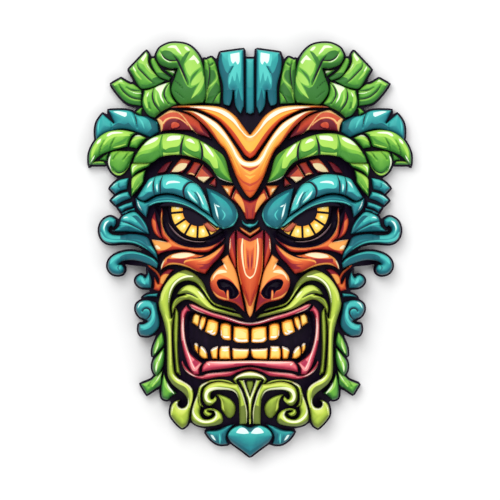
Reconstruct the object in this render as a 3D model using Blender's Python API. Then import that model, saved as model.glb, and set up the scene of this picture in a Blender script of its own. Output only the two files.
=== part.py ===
"""Tiki mask, carved from one block of wood and painted, lying on its flat back.

The carving is laid out on a carver's pattern of small squares: "out" is counted
from the centre line and "up" from the middle of the mask, so that one half gives
both. Every carved feature is an outline on that pattern with a lift above the
domed ground and a crown that swells towards its middle. Between neighbours runs a
groove down to the ground. The block is one closed solid: the carved front, the
flat back rim and the hollow behind the face.
"""

import math

import bpy
import numpy as np
from mathutils.geometry import delaunay_2d_cdt

# Driving dimensions in metres
MASK_HEIGHT = 0.500  # chin point to the top of the rolled leaves
EDGE_THICKNESS = 0.016  # thickness of the board at its outer edge
DOME_RISE = 0.044  # how far the ground swells above that edge in the middle
DOME_HALF_WIDTH = 0.150
DOME_HALF_HEIGHT = 0.215
DOME_CENTRE_UP = -0.020
RELIEF_STEP = 0.001  # one step of lift or crown in the tables below
GROOVE_HALF_WIDTH = 0.0014
RIM_OUTSET = 0.0010  # how far the board stands out past its outermost features
SLIT_CLOSING = 0.0015  # half the width of the narrowest slit that is left in the edge
MOUTH_RECESS = 0.012
EYE_RECESS = 0.007
NOSTRIL_RECESS = 0.010
RECESS_SLOPE = 0.004  # distance over which a recess falls to its full depth
DOME_FULLNESS = 0.8  # 0.5 would make the dome a half ellipsoid, 1 a paraboloid
FRONT_WALL = 0.028  # wood left between the hollow and the middle of the ground
HOLLOW_HALF_WIDTH = 0.080
HOLLOW_HALF_HEIGHT = 0.150
HOLLOW_CENTRE_UP = -0.015
HOLLOW_FULLNESS = 0.6  # as for the dome

# How finely the curves and the crowns are cut into facets, in metres
CHORD_ERROR = 0.00060
CROWN_SPACING = 0.0100
FLOOR_SPACING = 0.0060
RING_SAMPLES = 8
WELD = 0.00012
MEASURING_STEP = 0.0025  # spacing of the net on which a form's widest place is found
LEAST_HALF_WIDTH = 0.002  # of a form, for the shape of its crown
HOLLOW_SIDES = 40
HOLLOW_RINGS = (1.0, 0.93, 0.75, 0.5, 0.25)  # shares of its size at which it is cut

# The carver's pattern
PATTERN_HEIGHT = 418.0  # squares from the chin point to the leaf tops, rim included
SQUARE = MASK_HEIGHT / PATTERN_HEIGHT
CORNER_TURN = math.radians(52.0)  # an outline that turns more than this has a carved corner

WOOD_COLOUR = (0.30, 0.17, 0.09, 1.0)
WOOD_ROUGHNESS = 0.55

# Features carved on both sides: name, lift, crown, outline in (out, up) squares
PAIRED_FEATURES = [
    ("ribbed_leaf", 9, 5, [
        (104, 200), (122, 181), (118.5, 175), (112, 164), (106.5, 161), (95, 163.5), (83, 170),
        (90, 172.5), (98, 181), (101.5, 188), (101, 195),
    ]),
    ("leaf_back", 5, 2, [
        (99, 193), (95.5, 193), (88, 180.5), (78, 173), (81, 169), (92, 173.5), (98, 182),
        (100.5, 189),
    ]),
    ("side_leaf", 6, 4, [
        (129.5, 172.5), (140, 166.5), (133, 156.5), (123, 147), (108.5, 144), (108, 160),
        (116, 166.5), (121, 167.5),
    ]),
    ("front_leaf", 13, 7, [
        (106.5, 160.5), (108.5, 146), (103, 135.5), (95.5, 132), (87, 139), (72, 146), (78, 155),
        (79.5, 169.5), (90, 166), (101, 161.5),
    ]),
    ("leaf_bit", 3, 2, [
        (110.5, 142.5), (107.5, 143), (109, 134), (115.5, 138),
    ]),
    ("curl_gap_leaf", 4, 2, [
        (87, 181.5), (74, 181), (76.5, 173),
    ]),
    ("rolled_leaf", 16, 10, [
        (94.5, 193), (93, 199), (89, 204), (78, 208), (62, 205.7), (51, 195), (45.7, 180),
        (43.5, 157), (46.7, 147), (60, 145.7), (70, 145.5), (78, 155), (79.5, 163), (76, 173),
        (73, 181.7), (81, 181.7), (90, 185.5),
    ]),
    ("behind_leaf", 6, 4, [
        (47, 188.5), (44, 191.5), (38.5, 194), (33.2, 185.5), (28.8, 161), (29.5, 145.5),
        (46, 146.5),
    ]),
    ("crest_plank", 13, 5, [
        (30, 198.4), (5.2, 202.2), (5.5, 149.3), (9, 134), (15, 143), (16.5, 160), (20, 142.5),
        (27.5, 146.5), (27.8, 165), (32.5, 186),
    ]),
    ("ear_leaf_back", 6, 5, [
        (148, 137), (154, 128), (155.5, 118), (154.5, 109), (146, 116), (129, 121), (114, 118),
        (100, 112.5), (91, 118), (92, 128), (102, 134), (112, 135.5), (123, 140.5), (142.7, 140.5),
        (136.6, 127.5),
    ]),
    ("ear_leaf", 13, 6, [
        (161.6, 83.8), (161.5, 97), (155, 110), (144, 118.5), (129, 120.8), (113.6, 117.7),
        (119, 113), (122.5, 103.5), (140, 99), (151.3, 93.8), (158, 87),
    ]),
    ("ear_leaf_under", 5, 2, [
        (161, 83.3), (158, 87), (152, 92.5), (143, 97), (144, 84),
    ]),
    ("ear_leaf_inner", 10, 5, [
        (117.5, 113), (113, 116), (101.3, 112), (108, 104), (114, 99.5), (122, 102.5),
    ]),
    ("ear_drop", 9, 6, [
        (140.5, 97), (133, 99.5), (114.8, 99), (117, 91), (122, 81), (131, 73.5), (140, 77.5),
        (143, 88),
    ]),
    ("feather_top", 8, 5, [
        (141.5, 61.4), (132, 69.5), (120.5, 73.5), (122, 59), (134, 55.8),
    ]),
    ("feather_mid", 7, 5, [
        (140, 49.6), (136, 53.5), (123, 58.5), (118, 50), (134, 45),
    ]),
    ("feather_low", 6, 4, [
        (132.5, 43), (126, 46.5), (116, 49.5), (116, 43), (129, 38),
    ]),
    ("feather_sliver", 4, 2, [
        (129.5, 37), (116, 42.5), (115, 39), (127, 34.5),
    ]),
    ("cheek_fan", 9, 6, [
        (132.5, 29), (127, 34.5), (115, 39), (104, 28), (99.5, 14.5), (122, 16), (139, 17.5),
        (132.5, 24),
    ]),
    ("cheek_arm", 12, 8, [
        (92.5, -7), (100, -2), (112, 5), (128, 6), (141, 4.7), (150, 11), (152.1, 23), (146, 32.5),
        (139, 34), (133, 29), (133, 23), (137.5, 20), (139.5, 23.5), (142.5, 21.5), (140, 17),
        (122, 16.5), (101, 13.5), (97, 4),
    ]),
    ("cheek_scroll", 14, 8, [
        (92, -12), (104, -3), (120, -0.5), (135, -4), (143, -13.5), (140, -24), (130, -26),
        (124.5, -18), (126, -12), (131, -14.5), (128, -11), (120, -10.6), (107, -13.5),
        (92.5, -20),
    ]),
    ("cheek_ball", 10, 9, [
        (103, -19.5), (97.7, -29), (97.5, -39.5), (111.5, -37.5), (115.5, -30), (111, -25),
        (105.5, -26),
    ]),
    ("cheek_strip", 6, 3, [
        (108.5, -48.5), (102, -44), (91.5, -42.5), (92, -48), (100, -49),
    ]),
    ("cheek_spiral", 13, 8, [
        (93, -53), (89.5, -72), (94, -84), (103, -88), (111.5, -85.5), (112.5, -75), (105, -71.5),
        (113, -65.5), (115.7, -56), (109, -49), (100, -49),
    ]),
    ("jaw_leaf_top", 9, 6, [
        (87.5, -80.5), (85.5, -92), (94, -105.5), (98.5, -107), (98, -95),
    ]),
    ("jaw_leaf_mid", 12, 7, [
        (85.5, -97), (85.5, -112), (94, -127.5), (98.5, -118), (94, -106.5),
    ]),
    ("jaw_leaf_low", 7, 5, [
        (86.5, -119), (96.5, -129), (111.5, -135), (102, -146), (92, -139), (88, -128),
    ]),
    ("jaw_drop", 10, 6, [
        (86, -121), (81, -135), (72.5, -145), (83, -151.5), (89.5, -146), (88.5, -132),
    ]),
    ("brow", 26, 12, [
        (117.5, 87), (115, 95), (104, 109), (90, 116), (73, 117), (55, 112.5), (37, 102.5),
        (25, 93), (20, 76), (16, 66), (31, 71), (40, 83), (50, 90), (70, 94.5), (88, 93), (99, 87),
    ]),
    ("brow_leaf", 17, 5, [
        (118, 86), (99, 86.5), (102, 83), (109, 80), (118, 73), (120, 79),
    ]),
    ("brow_leaf_tip", 14, 5, [
        (118.5, 72), (104, 81), (105, 70), (112, 60), (119.2, 52),
    ]),
    ("panel", 11, 5, [
        (94.5, 131.5), (82, 142), (74, 140.5), (62, 138), (51, 130), (43, 120), (37.5, 109.5),
        (53, 115.5), (61, 119), (90, 117.5),
    ]),
    ("block_outer", 6, 2, [
        (95, 75.5), (90, 82), (76, 90.5), (80, 82), (86, 76),
    ]),
    ("block_second", 9, 3, [
        (81.5, 76.5), (70, 90), (66, 91.5), (58, 90), (63, 82), (68, 76),
    ]),
    ("block_third", 7, 2, [
        (64, 75.5), (55, 88.5), (48, 87), (53, 78), (55.5, 72.5),
    ]),
    ("block_fourth", 9, 3, [
        (47.3, 86.5), (35.5, 73.5), (46, 66), (55.5, 72.5),
    ]),
    ("block_fifth", 6, 2, [
        (41.5, 65), (34.5, 72.5), (32.5, 62),
    ]),
    ("eyelid", 23, 9, [
        (113.5, 52.5), (105, 66), (100, 72), (87.5, 75), (73, 75.5), (58, 69.5), (47, 60),
        (39.5, 39), (38, 33), (46, 39), (60, 49), (78, 56.5), (93, 55.5), (106, 49.2),
    ]),
    ("eyelid_bulb", 21, 10, [
        (44.5, 63), (31, 57.5), (17, 47.5), (11.4, 35), (16, 23.5), (27, 20.5), (36.5, 31),
        (41, 48),
    ]),
    ("eyelid_rim", 15, 5, [
        (115.2, 53), (105, 48.5), (93, 54.5), (78, 55.5), (60, 48), (46, 38), (37, 30.5), (28, 21),
        (46, 32.5), (62, 42.8), (78, 47), (92, 46.5), (101, 43), (103.5, 32), (113, 42),
    ]),
    ("iris", 7, 4, [
        (66, 40), (80, 36.5), (74, 22), (60, 12), (44, 12), (29.5, 18.2), (43, 26.5), (54, 24.5),
        (63, 31),
    ]),
    ("eye_corner", 5, 2, [
        (42.5, 26.5), (34, 20.5), (29, 18.5), (41, 11.5), (47, 11), (40, 18.5),
    ]),
    ("under_eye_strip", 6, 2, [
        (99.5, 28), (96, 30.5), (92, 21), (84, 9), (93, 15),
    ]),
    ("under_eye_fold", 11, 6, [
        (90, 43.5), (86.5, 44), (86.5, 28), (80, 13.5), (65, 3.7), (42, 2.7), (30, 6.5), (26, 3),
        (42, -5), (62, -12), (75, -8), (87, -5.5), (95, 1), (93, 10), (90, 24),
    ]),
    ("cheek_fold", 17, 7, [
        (89.5, -22), (88.5, -13), (85, -7.5), (76, -8.5), (62, -12.5), (40, -6), (24, 3.5),
        (28, -8), (40, -20), (46, -24.5), (56, -22), (70, -15.5), (82, -16.5),
    ]),
    ("cheek_block", 6, 3, [
        (103, -14), (93, -21.5), (88, -26.5), (82.5, -25.5), (90.5, -42), (96.5, -40), (97, -27),
    ]),
    ("muzzle_ring", 19, 9, [
        (67, -19.5), (78, -26.5), (88, -39.5), (91.5, -55), (87, -70), (83.5, -90), (82.5, -123),
        (76, -136), (63, -147), (56, -146), (57, -138), (73, -127), (76, -120), (76, -62),
        (75.5, -53), (72, -43), (65, -36), (56, -36), (47, -42), (37, -55.5), (21, -59.5),
        (10, -63.5), (16, -59), (36, -51.5), (45, -36), (54, -25),
    ]),
    ("muzzle_bulge", 15, 7, [
        (74.5, -49.5), (64, -44.5), (51, -51.5), (40, -59.5), (20, -65), (5, -69), (10, -64),
        (25, -59.8), (38, -55.5), (47, -43), (56, -37), (65, -37), (71.5, -43),
    ]),
    ("jaw_inner", 7, 3, [
        (75.2, -126), (75.5, -62), (71, -51), (63, -50), (49, -57.5), (57, -55), (64, -57),
        (69, -62), (70, -80), (67.5, -106), (58, -125), (66, -125),
    ]),
    ("tusk", 14, 6, [
        (56, -142), (58.5, -160), (61.5, -173), (68, -180), (80, -166.5), (79, -154),
        (71.5, -149.5), (67, -153.5), (63.5, -150), (66, -140.5), (82, -128), (72, -132.5),
        (61, -136.5),
    ]),
    ("nose_side", 20, 4, [
        (19.5, 13), (14.2, 20.5), (14, 5), (12.5, -24), (21, -4),
    ]),
    ("nostril", 28, 12, [
        (21.7, -4.4), (29, -10.3), (23.5, -19), (33, -19.5), (39.5, -30), (38, -41), (31, -49.5),
        (17, -54), (5, -62.5), (9, -36), (13, -22),
    ]),
    ("glabella_corner", 11, 3, [
        (29.5, 64.7), (15, 64.2), (20, 51),
    ]),
    ("lip_under", 9, 4, [
        (68.5, -110), (66.5, -121), (55, -128.3), (38, -129.3), (18, -126), (0, -119.5), (0, -117),
        (17, -120.5), (42, -123.5), (53, -125), (62, -118),
    ]),
    ("tooth_far", 3, 4, [
        (58, -72.5), (57, -66), (54, -63), (49.5, -65.5), (50, -71), (51.5, -77),
    ]),
    ("tooth_side", 4, 4, [
        (47.8, -66), (42.7, -68), (44.5, -76), (48.5, -81), (51.2, -78),
    ]),
    ("tooth_big", 6, 5, [
        (42, -69), (36, -69.5), (30.7, -72), (31.5, -80), (33, -84.5), (36.5, -86.3),
        (45.4, -82.5),
    ]),
    ("tooth_near", 7, 5, [
        (28.5, -73), (24, -72.5), (18.2, -75), (19, -90.8), (24.5, -90.3), (29, -87.5),
    ]),
    ("tooth_front", 8, 5, [
        (17, -76), (4, -77.5), (0.7, -81), (0.7, -93), (17, -92),
    ]),
    ("low_tooth_far", 2, 3, [
        (55.5, -93), (52, -94), (51.8, -104.5), (56, -100),
    ]),
    ("low_tooth_side", 3, 4, [
        (49.5, -96), (44, -99.5), (41.7, -108.5), (46.5, -109.3), (51, -103),
    ]),
    ("low_tooth_big", 4, 4, [
        (39.3, -101), (36, -96.5), (31.6, -95.8), (32.5, -109.8), (38, -109.5),
    ]),
    ("low_tooth_near", 5, 4, [
        (30, -96.5), (20, -95.5), (19.5, -109.8), (30.5, -109.6),
    ]),
    ("low_tooth_front", 5, 4, [
        (18, -98), (0.7, -98.5), (0.8, -106), (6, -109.5), (17.5, -110),
    ]),
    ("chin_scroll", 13, 8, [
        (2.5, -174.5), (3, -160), (8, -142), (16, -134), (30, -130.5), (43, -136), (48.5, -147),
        (46, -155), (39, -157), (33, -151), (35.5, -146), (38, -149), (38.5, -145), (30, -141),
        (19, -140.5), (11.5, -150), (11, -175),
    ]),
    ("chin_band", 9, 3, [
        (50.5, -136), (45, -132.5), (30, -129.5), (16, -126.5), (9, -121.8), (0, -120.5),
        (0, -128.5), (6, -129.5), (13, -134), (30, -130), (43, -135), (48, -140),
    ]),
    ("chin_curl", 16, 8, [
        (50.5, -137), (53.5, -148), (58.7, -165), (55, -175), (40, -177.3), (27.5, -172.5),
        (28.5, -162.5), (38, -158), (46.5, -162.5), (45.5, -168.5), (38, -168.5), (35.5, -165),
        (40.5, -165), (38, -163.5), (33, -165), (36, -170), (45, -170.5), (50, -161), (48.5, -147),
    ]),
    ("chin_leaf", 7, 4, [
        (33.5, -145), (22, -148), (13.5, -158), (19, -170), (28, -156),
    ]),
    ("chin_side", 7, 4, [
        (45, -184), (34, -180), (13, -174), (22, -181), (23.5, -192), (22, -196), (37, -193.5),
    ]),
]

# Features on the centre line: the outline of the left half, top to bottom
CENTRE_FEATURES = [
    ("centre_plank", 7, 3, [
        (0, 192.5), (4.8, 192.5), (4.8, 141), (3, 136.7), (0, 135.4),
    ]),
    ("crown_band", 20, 7, [
        (0, 115.5), (5, 122), (15, 135), (28, 143), (45, 145.2), (71.2, 145), (82, 142.5),
        (55, 141), (36, 132), (25, 122), (10, 101), (5, 94), (0, 90.7),
    ]),
    ("beak", 25, 8, [
        (0, 89), (6, 91), (12, 100), (26, 120.5), (37, 130.5), (55, 139), (70, 140), (58, 135),
        (43, 121), (31.5, 106), (24, 97), (14, 72), (5, 56), (0, 51.4),
    ]),
    ("brow_tongue", 13, 4, [
        (0, 49), (7, 53), (14, 62), (19.5, 51), (12, 45), (4.5, 30), (0, 30),
    ]),
    ("chevron_teal", 11, 3, [
        (0, 26.5), (4.5, 26.5), (8.7, 30.5), (7, 24), (0, 20),
    ]),
    ("chevron_low", 9, 2, [
        (0, 18), (7, 22.5), (10, 23), (9, 19), (0, 13),
    ]),
    ("nose_bridge", 22, 12, [
        (0, 11.5), (9, 18.5), (13.2, 20.7), (13.5, -20), (10, -33), (4.5, -59), (3, -64),
        (0, -68.5),
    ]),
    ("upper_lip", 14, 5, [
        (0, -73), (9, -71.5), (28, -65.5), (47, -58.5), (60, -54), (64, -56), (68.5, -63),
        (69.3, -74), (67, -94), (58.5, -120), (52, -125), (47, -122.5), (30, -120), (10, -117),
        (0, -115.5), (0, -111), (42, -111.5), (47, -113.5), (51, -111), (60.5, -101), (65, -84),
        (64, -66), (59.5, -61), (48, -63), (20, -72), (0, -75.8),
    ]),
    ("throat_stem", 8, 3, [
        (0, -129), (6, -130), (6.5, -134), (2.5, -143), (0, -146),
    ]),
    ("chin_stem", 11, 3, [
        (0, -147), (2.5, -150), (1.2, -162), (1.2, -174.5), (0, -174.5),
    ]),
    ("heart", 13, 12, [
        (0, -177.5), (6, -175.5), (18, -178), (23, -187), (18, -197.5), (0, -208),
    ]),
]

# The board behind the features, the left half from top to bottom
BOARD_OUTLINE = [
    (0, 188), (31, 175), (47, 175), (68, 190), (90, 184), (100, 170), (108, 155), (120, 153),
    (108, 146), (108, 137), (112, 132), (125, 133), (136.4, 130.5), (142, 125), (150, 118),
    (153, 105), (155, 90), (146, 88), (138, 80), (126, 76), (119, 70), (123, 60), (119, 50),
    (117, 38), (120, 25), (135, 18), (130, 10), (110, 8), (100, 0), (110, -5), (122, -6),
    (129, -12.5), (121, -16), (100, -18), (102, -35), (100, -50), (110, -60), (100, -80),
    (92, -90), (94, -105), (94, -120), (100, -135), (90, -142), (74, -160), (64, -165), (55, -173),
    (42, -178), (38, -186), (20, -190), (0, -202),
]

# Recesses cut into the ground: name, depth, paired, outline
RECESSES = [
    (MOUTH_RECESS, False, [
        (0, -75), (10, -74), (28, -69), (48, -63), (59, -61), (63, -66), (64.5, -84), (60.5, -101),
        (51, -111), (47, -114), (42, -112), (0, -112),
    ]),
    (EYE_RECESS, True, [
        (98, 44), (85, 47), (70, 45.5), (54, 38), (39, 26.5), (28, 20), (20, 18), (28, 10),
        (42, 3), (60, 3), (78, 9), (87, 22), (92, 36),
    ]),
    (NOSTRIL_RECESS, True, [
        (33, -32), (27, -29), (16, -34.5), (11, -43), (14, -48), (22, -48), (26, -41.5), (33, -37),
    ]),
]

LEFT, RIGHT = -1.0, 1.0


def remove_old_objects():
    for old in list(bpy.data.objects):
        bpy.data.objects.remove(old, do_unlink=True)


def on_pattern(points, side=LEFT):
    """Pattern squares to metres, on one side of the centre line."""
    return [(side * out * SQUARE, up * SQUARE) for out, up in points]


def across_centre(points):
    """A left half, top to bottom, closed by its mirror image."""
    left = on_pattern(points, LEFT)
    inner = [p for p in points if abs(p[0]) > 1e-6]
    right = on_pattern(reversed(inner), RIGHT)
    return left + right


def turn_at(before, here, after):
    first = math.atan2(here[1] - before[1], here[0] - before[0])
    second = math.atan2(after[1] - here[1], after[0] - here[0])
    return abs((second - first + math.pi) % (2.0 * math.pi) - math.pi)


def spline_point(a, b, c, d, t):
    """Catmull-Rom curve between b and c."""
    return tuple(
        0.5
        * (
            2.0 * b[k]
            + (c[k] - a[k]) * t
            + (2.0 * a[k] - 5.0 * b[k] + 4.0 * c[k] - d[k]) * t * t
            + (3.0 * b[k] - a[k] - 3.0 * c[k] + d[k]) * t**3
        )
        for k in (0, 1)
    )


def smooth_outline(points):
    """The closed curve through the points, with a corner kept where it turns sharply."""
    count = len(points)
    corner = [
        turn_at(points[i - 1], points[i], points[(i + 1) % count]) > CORNER_TURN
        for i in range(count)
    ]
    curve = []
    for i in range(count):
        here, after = points[i], points[(i + 1) % count]
        before = here if corner[i] else points[i - 1]
        beyond = after if corner[(i + 1) % count] else points[(i + 2) % count]
        for step in range(RING_SAMPLES):
            curve.append(spline_point(before, here, after, beyond, step / RING_SAMPLES))
    curve = np.array(curve)
    return curve if area_of(curve) > 0.0 else curve[::-1]


def area_of(ring):
    x, y = ring[:, 0], ring[:, 1]
    return 0.5 * float(np.sum(x * np.roll(y, -1) - np.roll(x, -1) * y))


def offset_ring(ring, distance):
    """The ring moved outwards by the distance, or inwards where it is negative."""
    forward = np.roll(ring, -1, axis=0) - ring
    forward /= np.maximum(np.linalg.norm(forward, axis=1), 1e-9)[:, None]
    tangent = forward + np.roll(forward, 1, axis=0)
    tangent /= np.maximum(np.linalg.norm(tangent, axis=1), 1e-9)[:, None]
    normal = np.stack([tangent[:, 1], -tangent[:, 0]], axis=1)
    facing = np.stack([forward[:, 1], -forward[:, 0]], axis=1)
    reach = distance / np.maximum(np.sum(normal * facing, axis=1), 0.5)
    return ring + normal * reach[:, None]


def thin_ring(ring, tolerance):
    """Douglas-Peucker: the fewest of the ring's points that stay within the tolerance."""
    count = len(ring)
    far = int(np.argmax(np.sum((ring - ring[0]) ** 2, axis=1)))
    kept = {0, far}
    spans = [(0, far), (far, count)]
    while spans:
        first, last = spans.pop()
        if last - first < 2:
            continue
        start, end = ring[first], ring[last % count]
        along = end - start
        length = max(float(np.hypot(*along)), 1e-9)
        between = ring[first + 1 : last] - start
        away = np.abs(between[:, 0] * along[1] - between[:, 1] * along[0]) / length
        worst = int(np.argmax(away))
        if away[worst] > tolerance:
            middle = first + 1 + worst
            kept.add(middle)
            spans += [(first, middle), (middle, last)]
    return ring[sorted(kept)]


def signed_distance(points, ring):
    """Distance from each point to the ring, positive inside it."""
    start = ring
    along = np.roll(ring, -1, axis=0) - ring
    square = np.maximum(np.sum(along**2, axis=1), 1e-18)
    rise = np.where(np.abs(along[:, 1]) < 1e-12, 1e-12, along[:, 1])
    distances = []
    for part in np.array_split(points, len(points) // 1000 + 1):
        apart = part[:, None, :] - start[None, :, :]
        share = np.clip(np.sum(apart * along[None], axis=2) / square[None], 0.0, 1.0)
        gap = apart - share[..., None] * along[None]
        nearest = np.sqrt(np.min(np.sum(gap**2, axis=2), axis=1))
        y = part[:, 1:2]
        spans = (start[None, :, 1] > y) != (start[None, :, 1] + along[None, :, 1] > y)
        crosses = spans & (apart[..., 0] < apart[..., 1] * along[None, :, 0] / rise[None])
        inside = np.sum(crosses, axis=1) % 2 == 1
        distances.append(np.where(inside, nearest, -nearest))
    return np.concatenate(distances)


def smoothstep(values):
    values = np.clip(values, 0.0, 1.0)
    return values * values * (3.0 - 2.0 * values)


def dome(points):
    """Height of the ground before anything is carved into it."""
    across = points[:, 0] / DOME_HALF_WIDTH
    along = (points[:, 1] - DOME_CENTRE_UP) / DOME_HALF_HEIGHT
    share = np.clip(1.0 - across**2 - along**2, 0.0, 1.0)
    return EDGE_THICKNESS + DOME_RISE * share**DOME_FULLNESS


def hollow(points):
    """Height of the inside above the back rim."""
    across = points[:, 0] / HOLLOW_HALF_WIDTH
    along = (points[:, 1] - HOLLOW_CENTRE_UP) / HOLLOW_HALF_HEIGHT
    share = np.clip(1.0 - across**2 - along**2, 0.0, 1.0)
    return (EDGE_THICKNESS + DOME_RISE - FRONT_WALL) * share**HOLLOW_FULLNESS


class Feature:
    """One carved form: its curve on the pattern, lift, crown and widest half-width."""

    def __init__(self, name, lift, crown, points):
        self.name = name
        self.lift = lift * RELIEF_STEP
        self.crown = crown * RELIEF_STEP
        self.curve = smooth_outline(points)
        self.ring = thin_ring(self.curve, CHORD_ERROR * 0.3)
        self.low, self.high = self.ring.min(axis=0), self.ring.max(axis=0)
        grid = np.stack(
            np.meshgrid(
                np.arange(self.low[0], self.high[0], MEASURING_STEP),
                np.arange(self.low[1], self.high[1], MEASURING_STEP),
            ),
            axis=-1,
        ).reshape(-1, 2)
        widest = float(signed_distance(grid, self.ring).max())
        self.half_width = max(widest, LEAST_HALF_WIDTH)

    def shoulder(self):
        """The edge of the raised face, a groove's half-width inside the outline."""
        return thin_ring(offset_ring(self.curve, -GROOVE_HALF_WIDTH), CHORD_ERROR)

    def height(self, points, inside):
        """Top of the form where a point lies this far inside its outline."""
        share = np.clip(inside / self.half_width, 0.0, 1.0)
        return dome(points) + self.lift + self.crown * np.sqrt(1.0 - (1.0 - share) ** 2)


def all_features():
    features = []
    for name, lift, crown, points in PAIRED_FEATURES:
        for side in (LEFT, RIGHT):
            features.append(Feature(name, lift, crown, on_pattern(points, side)))
    for name, lift, crown, points in CENTRE_FEATURES:
        features.append(Feature(name, lift, crown, across_centre(points)))
    return features


def all_recesses():
    recesses = []
    for depth, paired, points in RECESSES:
        halves = [on_pattern(points, s) for s in (LEFT, RIGHT)] if paired else [across_centre(points)]
        recesses += [(depth, smooth_outline(half)) for half in halves]
    return recesses


def floor_height(points, recesses):
    """The ground between the features, with the eyes, nostrils and mouth cut into it."""
    height = dome(points)
    for depth, ring in recesses:
        height = height - depth * smoothstep(signed_distance(points, ring) / RECESS_SLOPE)
    return height


def front_height(points, features, recesses):
    """Height of the carved front over each point of the pattern."""
    height = floor_height(points, recesses)
    for feature in features:
        near = np.all((points > feature.low) & (points < feature.high), axis=1)
        if not near.any():
            continue
        inside = np.zeros(len(points))
        inside[near] = signed_distance(points[near], feature.ring)
        risen = np.clip(inside / (GROOVE_HALF_WIDTH * 0.8), 0.0, 1.0)
        top = feature.height(points, inside)
        height = np.where(inside > 0.0, height + (top - height) * risen, height)
    return height


def triangulate(points, outline, loops):
    """Delaunay triangles inside the outline, with the edges of every loop kept."""
    edges = [(loop[i - 1], loop[i]) for loop in loops for i in range(len(loop))]
    found = delaunay_2d_cdt(points, edges, [outline], 0, WELD, True)
    inside = [tri for tri, owner in zip(found[2], found[5]) if owner]
    return np.array([tuple(v) for v in found[0]]), inside


def outer_boundary(rings):
    """The longest way round everything that the rings cover."""
    points, faces = [], []
    for ring in rings:
        faces.append(list(range(len(points), len(points) + len(ring))))
        points += [tuple(p) for p in ring]
    verts, _, triangles, _, _, owners = delaunay_2d_cdt(points, [], faces, 0, WELD, True)
    covered = [tri for tri, owner in zip(triangles, owners) if owner]
    directed = {(tri[i - 1], tri[i]) for tri in covered for i in range(3)}
    following = {}
    for a, b in sorted(directed):
        if (b, a) not in directed:
            following.setdefault(a, []).append(b)
    loops = []
    while following:
        path = [min(following)]
        while path:
            here = path[-1]
            if here not in following:
                break
            beyond = following[here].pop()
            if not following[here]:
                del following[here]
            if beyond in path:
                # A loop closes here, also where the boundary pinches itself
                first = path.index(beyond)
                loops.append(np.array([tuple(verts[i]) for i in path[first:]]))
                path = path[: first + 1] if first else []
            else:
                path.append(beyond)
    return max(loops, key=area_of)


def board_silhouette(features):
    """Outer boundary of the board and all features together.

    They are joined a little oversize and cut back, which fills the slits too narrow
    for a knife.
    """
    rings = [offset_ring(f.curve, RIM_OUTSET + SLIT_CLOSING) for f in features]
    rings.append(offset_ring(smooth_outline(across_centre(BOARD_OUTLINE)), SLIT_CLOSING))
    rings = [thin_ring(ring, CHORD_ERROR * 0.5) for ring in rings]
    cut_back = offset_ring(outer_boundary(rings), -SLIT_CLOSING)
    return outer_boundary([thin_ring(cut_back, CHORD_ERROR * 0.6)])


def spread_points(ring, spacing):
    """A triangular net of points with this spacing over the ring's box."""
    low, high = ring.min(axis=0), ring.max(axis=0)
    rows = np.arange(low[1], high[1], spacing * math.sqrt(3.0) / 2.0)
    net = []
    for number, y in enumerate(rows):
        shift = 0.5 * spacing * (number % 2)
        net += [(x + shift, y) for x in np.arange(low[0], high[0], spacing)]
    return np.array(net)


def thin_points(candidates, kept, spacing):
    """The candidates that stay this far from the kept points and from each other."""
    cell = spacing
    filled = {}
    for x, y in kept:
        filled.setdefault((int(x // cell), int(y // cell)), []).append((x, y))
    chosen = []
    for x, y in candidates:
        column, row = int(x // cell), int(y // cell)
        around = [
            p
            for i in (-1, 0, 1)
            for j in (-1, 0, 1)
            for p in filled.get((column + i, row + j), [])
        ]
        if all((px - x) ** 2 + (py - y) ** 2 > spacing**2 for px, py in around):
            chosen.append((x, y))
            filled.setdefault((column, row), []).append((x, y))
    return chosen


def far_from_shoulders(points, shoulders, distance):
    """Keeps the points that are at least this far from every shoulder ring."""
    keep = np.ones(len(points), dtype=bool)
    for ring in shoulders:
        low, high = ring.min(axis=0) - distance, ring.max(axis=0) + distance
        near = keep & np.all((points > low) & (points < high), axis=1)
        if near.any():
            keep[near] = np.abs(signed_distance(points[near], ring)) > distance
    return points[keep]


def front_surface(silhouette, features, recesses):
    """Points and triangles of the carved front; the silhouette comes first."""
    shoulders = [f.shoulder() for f in features]
    points = [tuple(p) for p in silhouette]
    outline, loops = list(range(len(points))), []
    for ring in shoulders:
        loops.append(list(range(len(points), len(points) + len(ring))))
        points += [tuple(p) for p in ring]
    # Groove bottoms lie on the outlines, where they are clear of the raised faces
    bottoms = np.concatenate([f.curve for f in features] + [ring for _, ring in recesses])
    bottoms = bottoms[signed_distance(bottoms, silhouette) > GROOVE_HALF_WIDTH]
    bottoms = far_from_shoulders(bottoms, shoulders, GROOVE_HALF_WIDTH * 0.6)
    crowns = spread_points(silhouette, CROWN_SPACING)
    crowns = crowns[signed_distance(crowns, silhouette) > GROOVE_HALF_WIDTH * 2.0]
    crowns = far_from_shoulders(crowns, shoulders, CROWN_SPACING * 0.32)
    points += thin_points(crowns, [], CROWN_SPACING * 0.5)
    points += thin_points(bottoms, [], FLOOR_SPACING)
    return triangulate(points, outline, loops)


def back_surface(silhouette):
    """Points and triangles of the flat back with its hollow."""
    turns = np.linspace(0.0, 2.0 * math.pi, HOLLOW_SIDES, endpoint=False)
    points = [tuple(p) for p in silhouette]
    outline, loops = list(range(len(points))), []
    for share in HOLLOW_RINGS:
        ring = [
            (
                HOLLOW_HALF_WIDTH * share * math.cos(a),
                HOLLOW_CENTRE_UP + HOLLOW_HALF_HEIGHT * share * math.sin(a),
            )
            for a in turns[:: 1 if share > 0.6 else 2]
        ]
        if share == 1.0:
            loops.append(list(range(len(points), len(points) + len(ring))))
        points += ring
    points.append((0.0, HOLLOW_CENTRE_UP))
    return triangulate(points, outline, loops)


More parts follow.
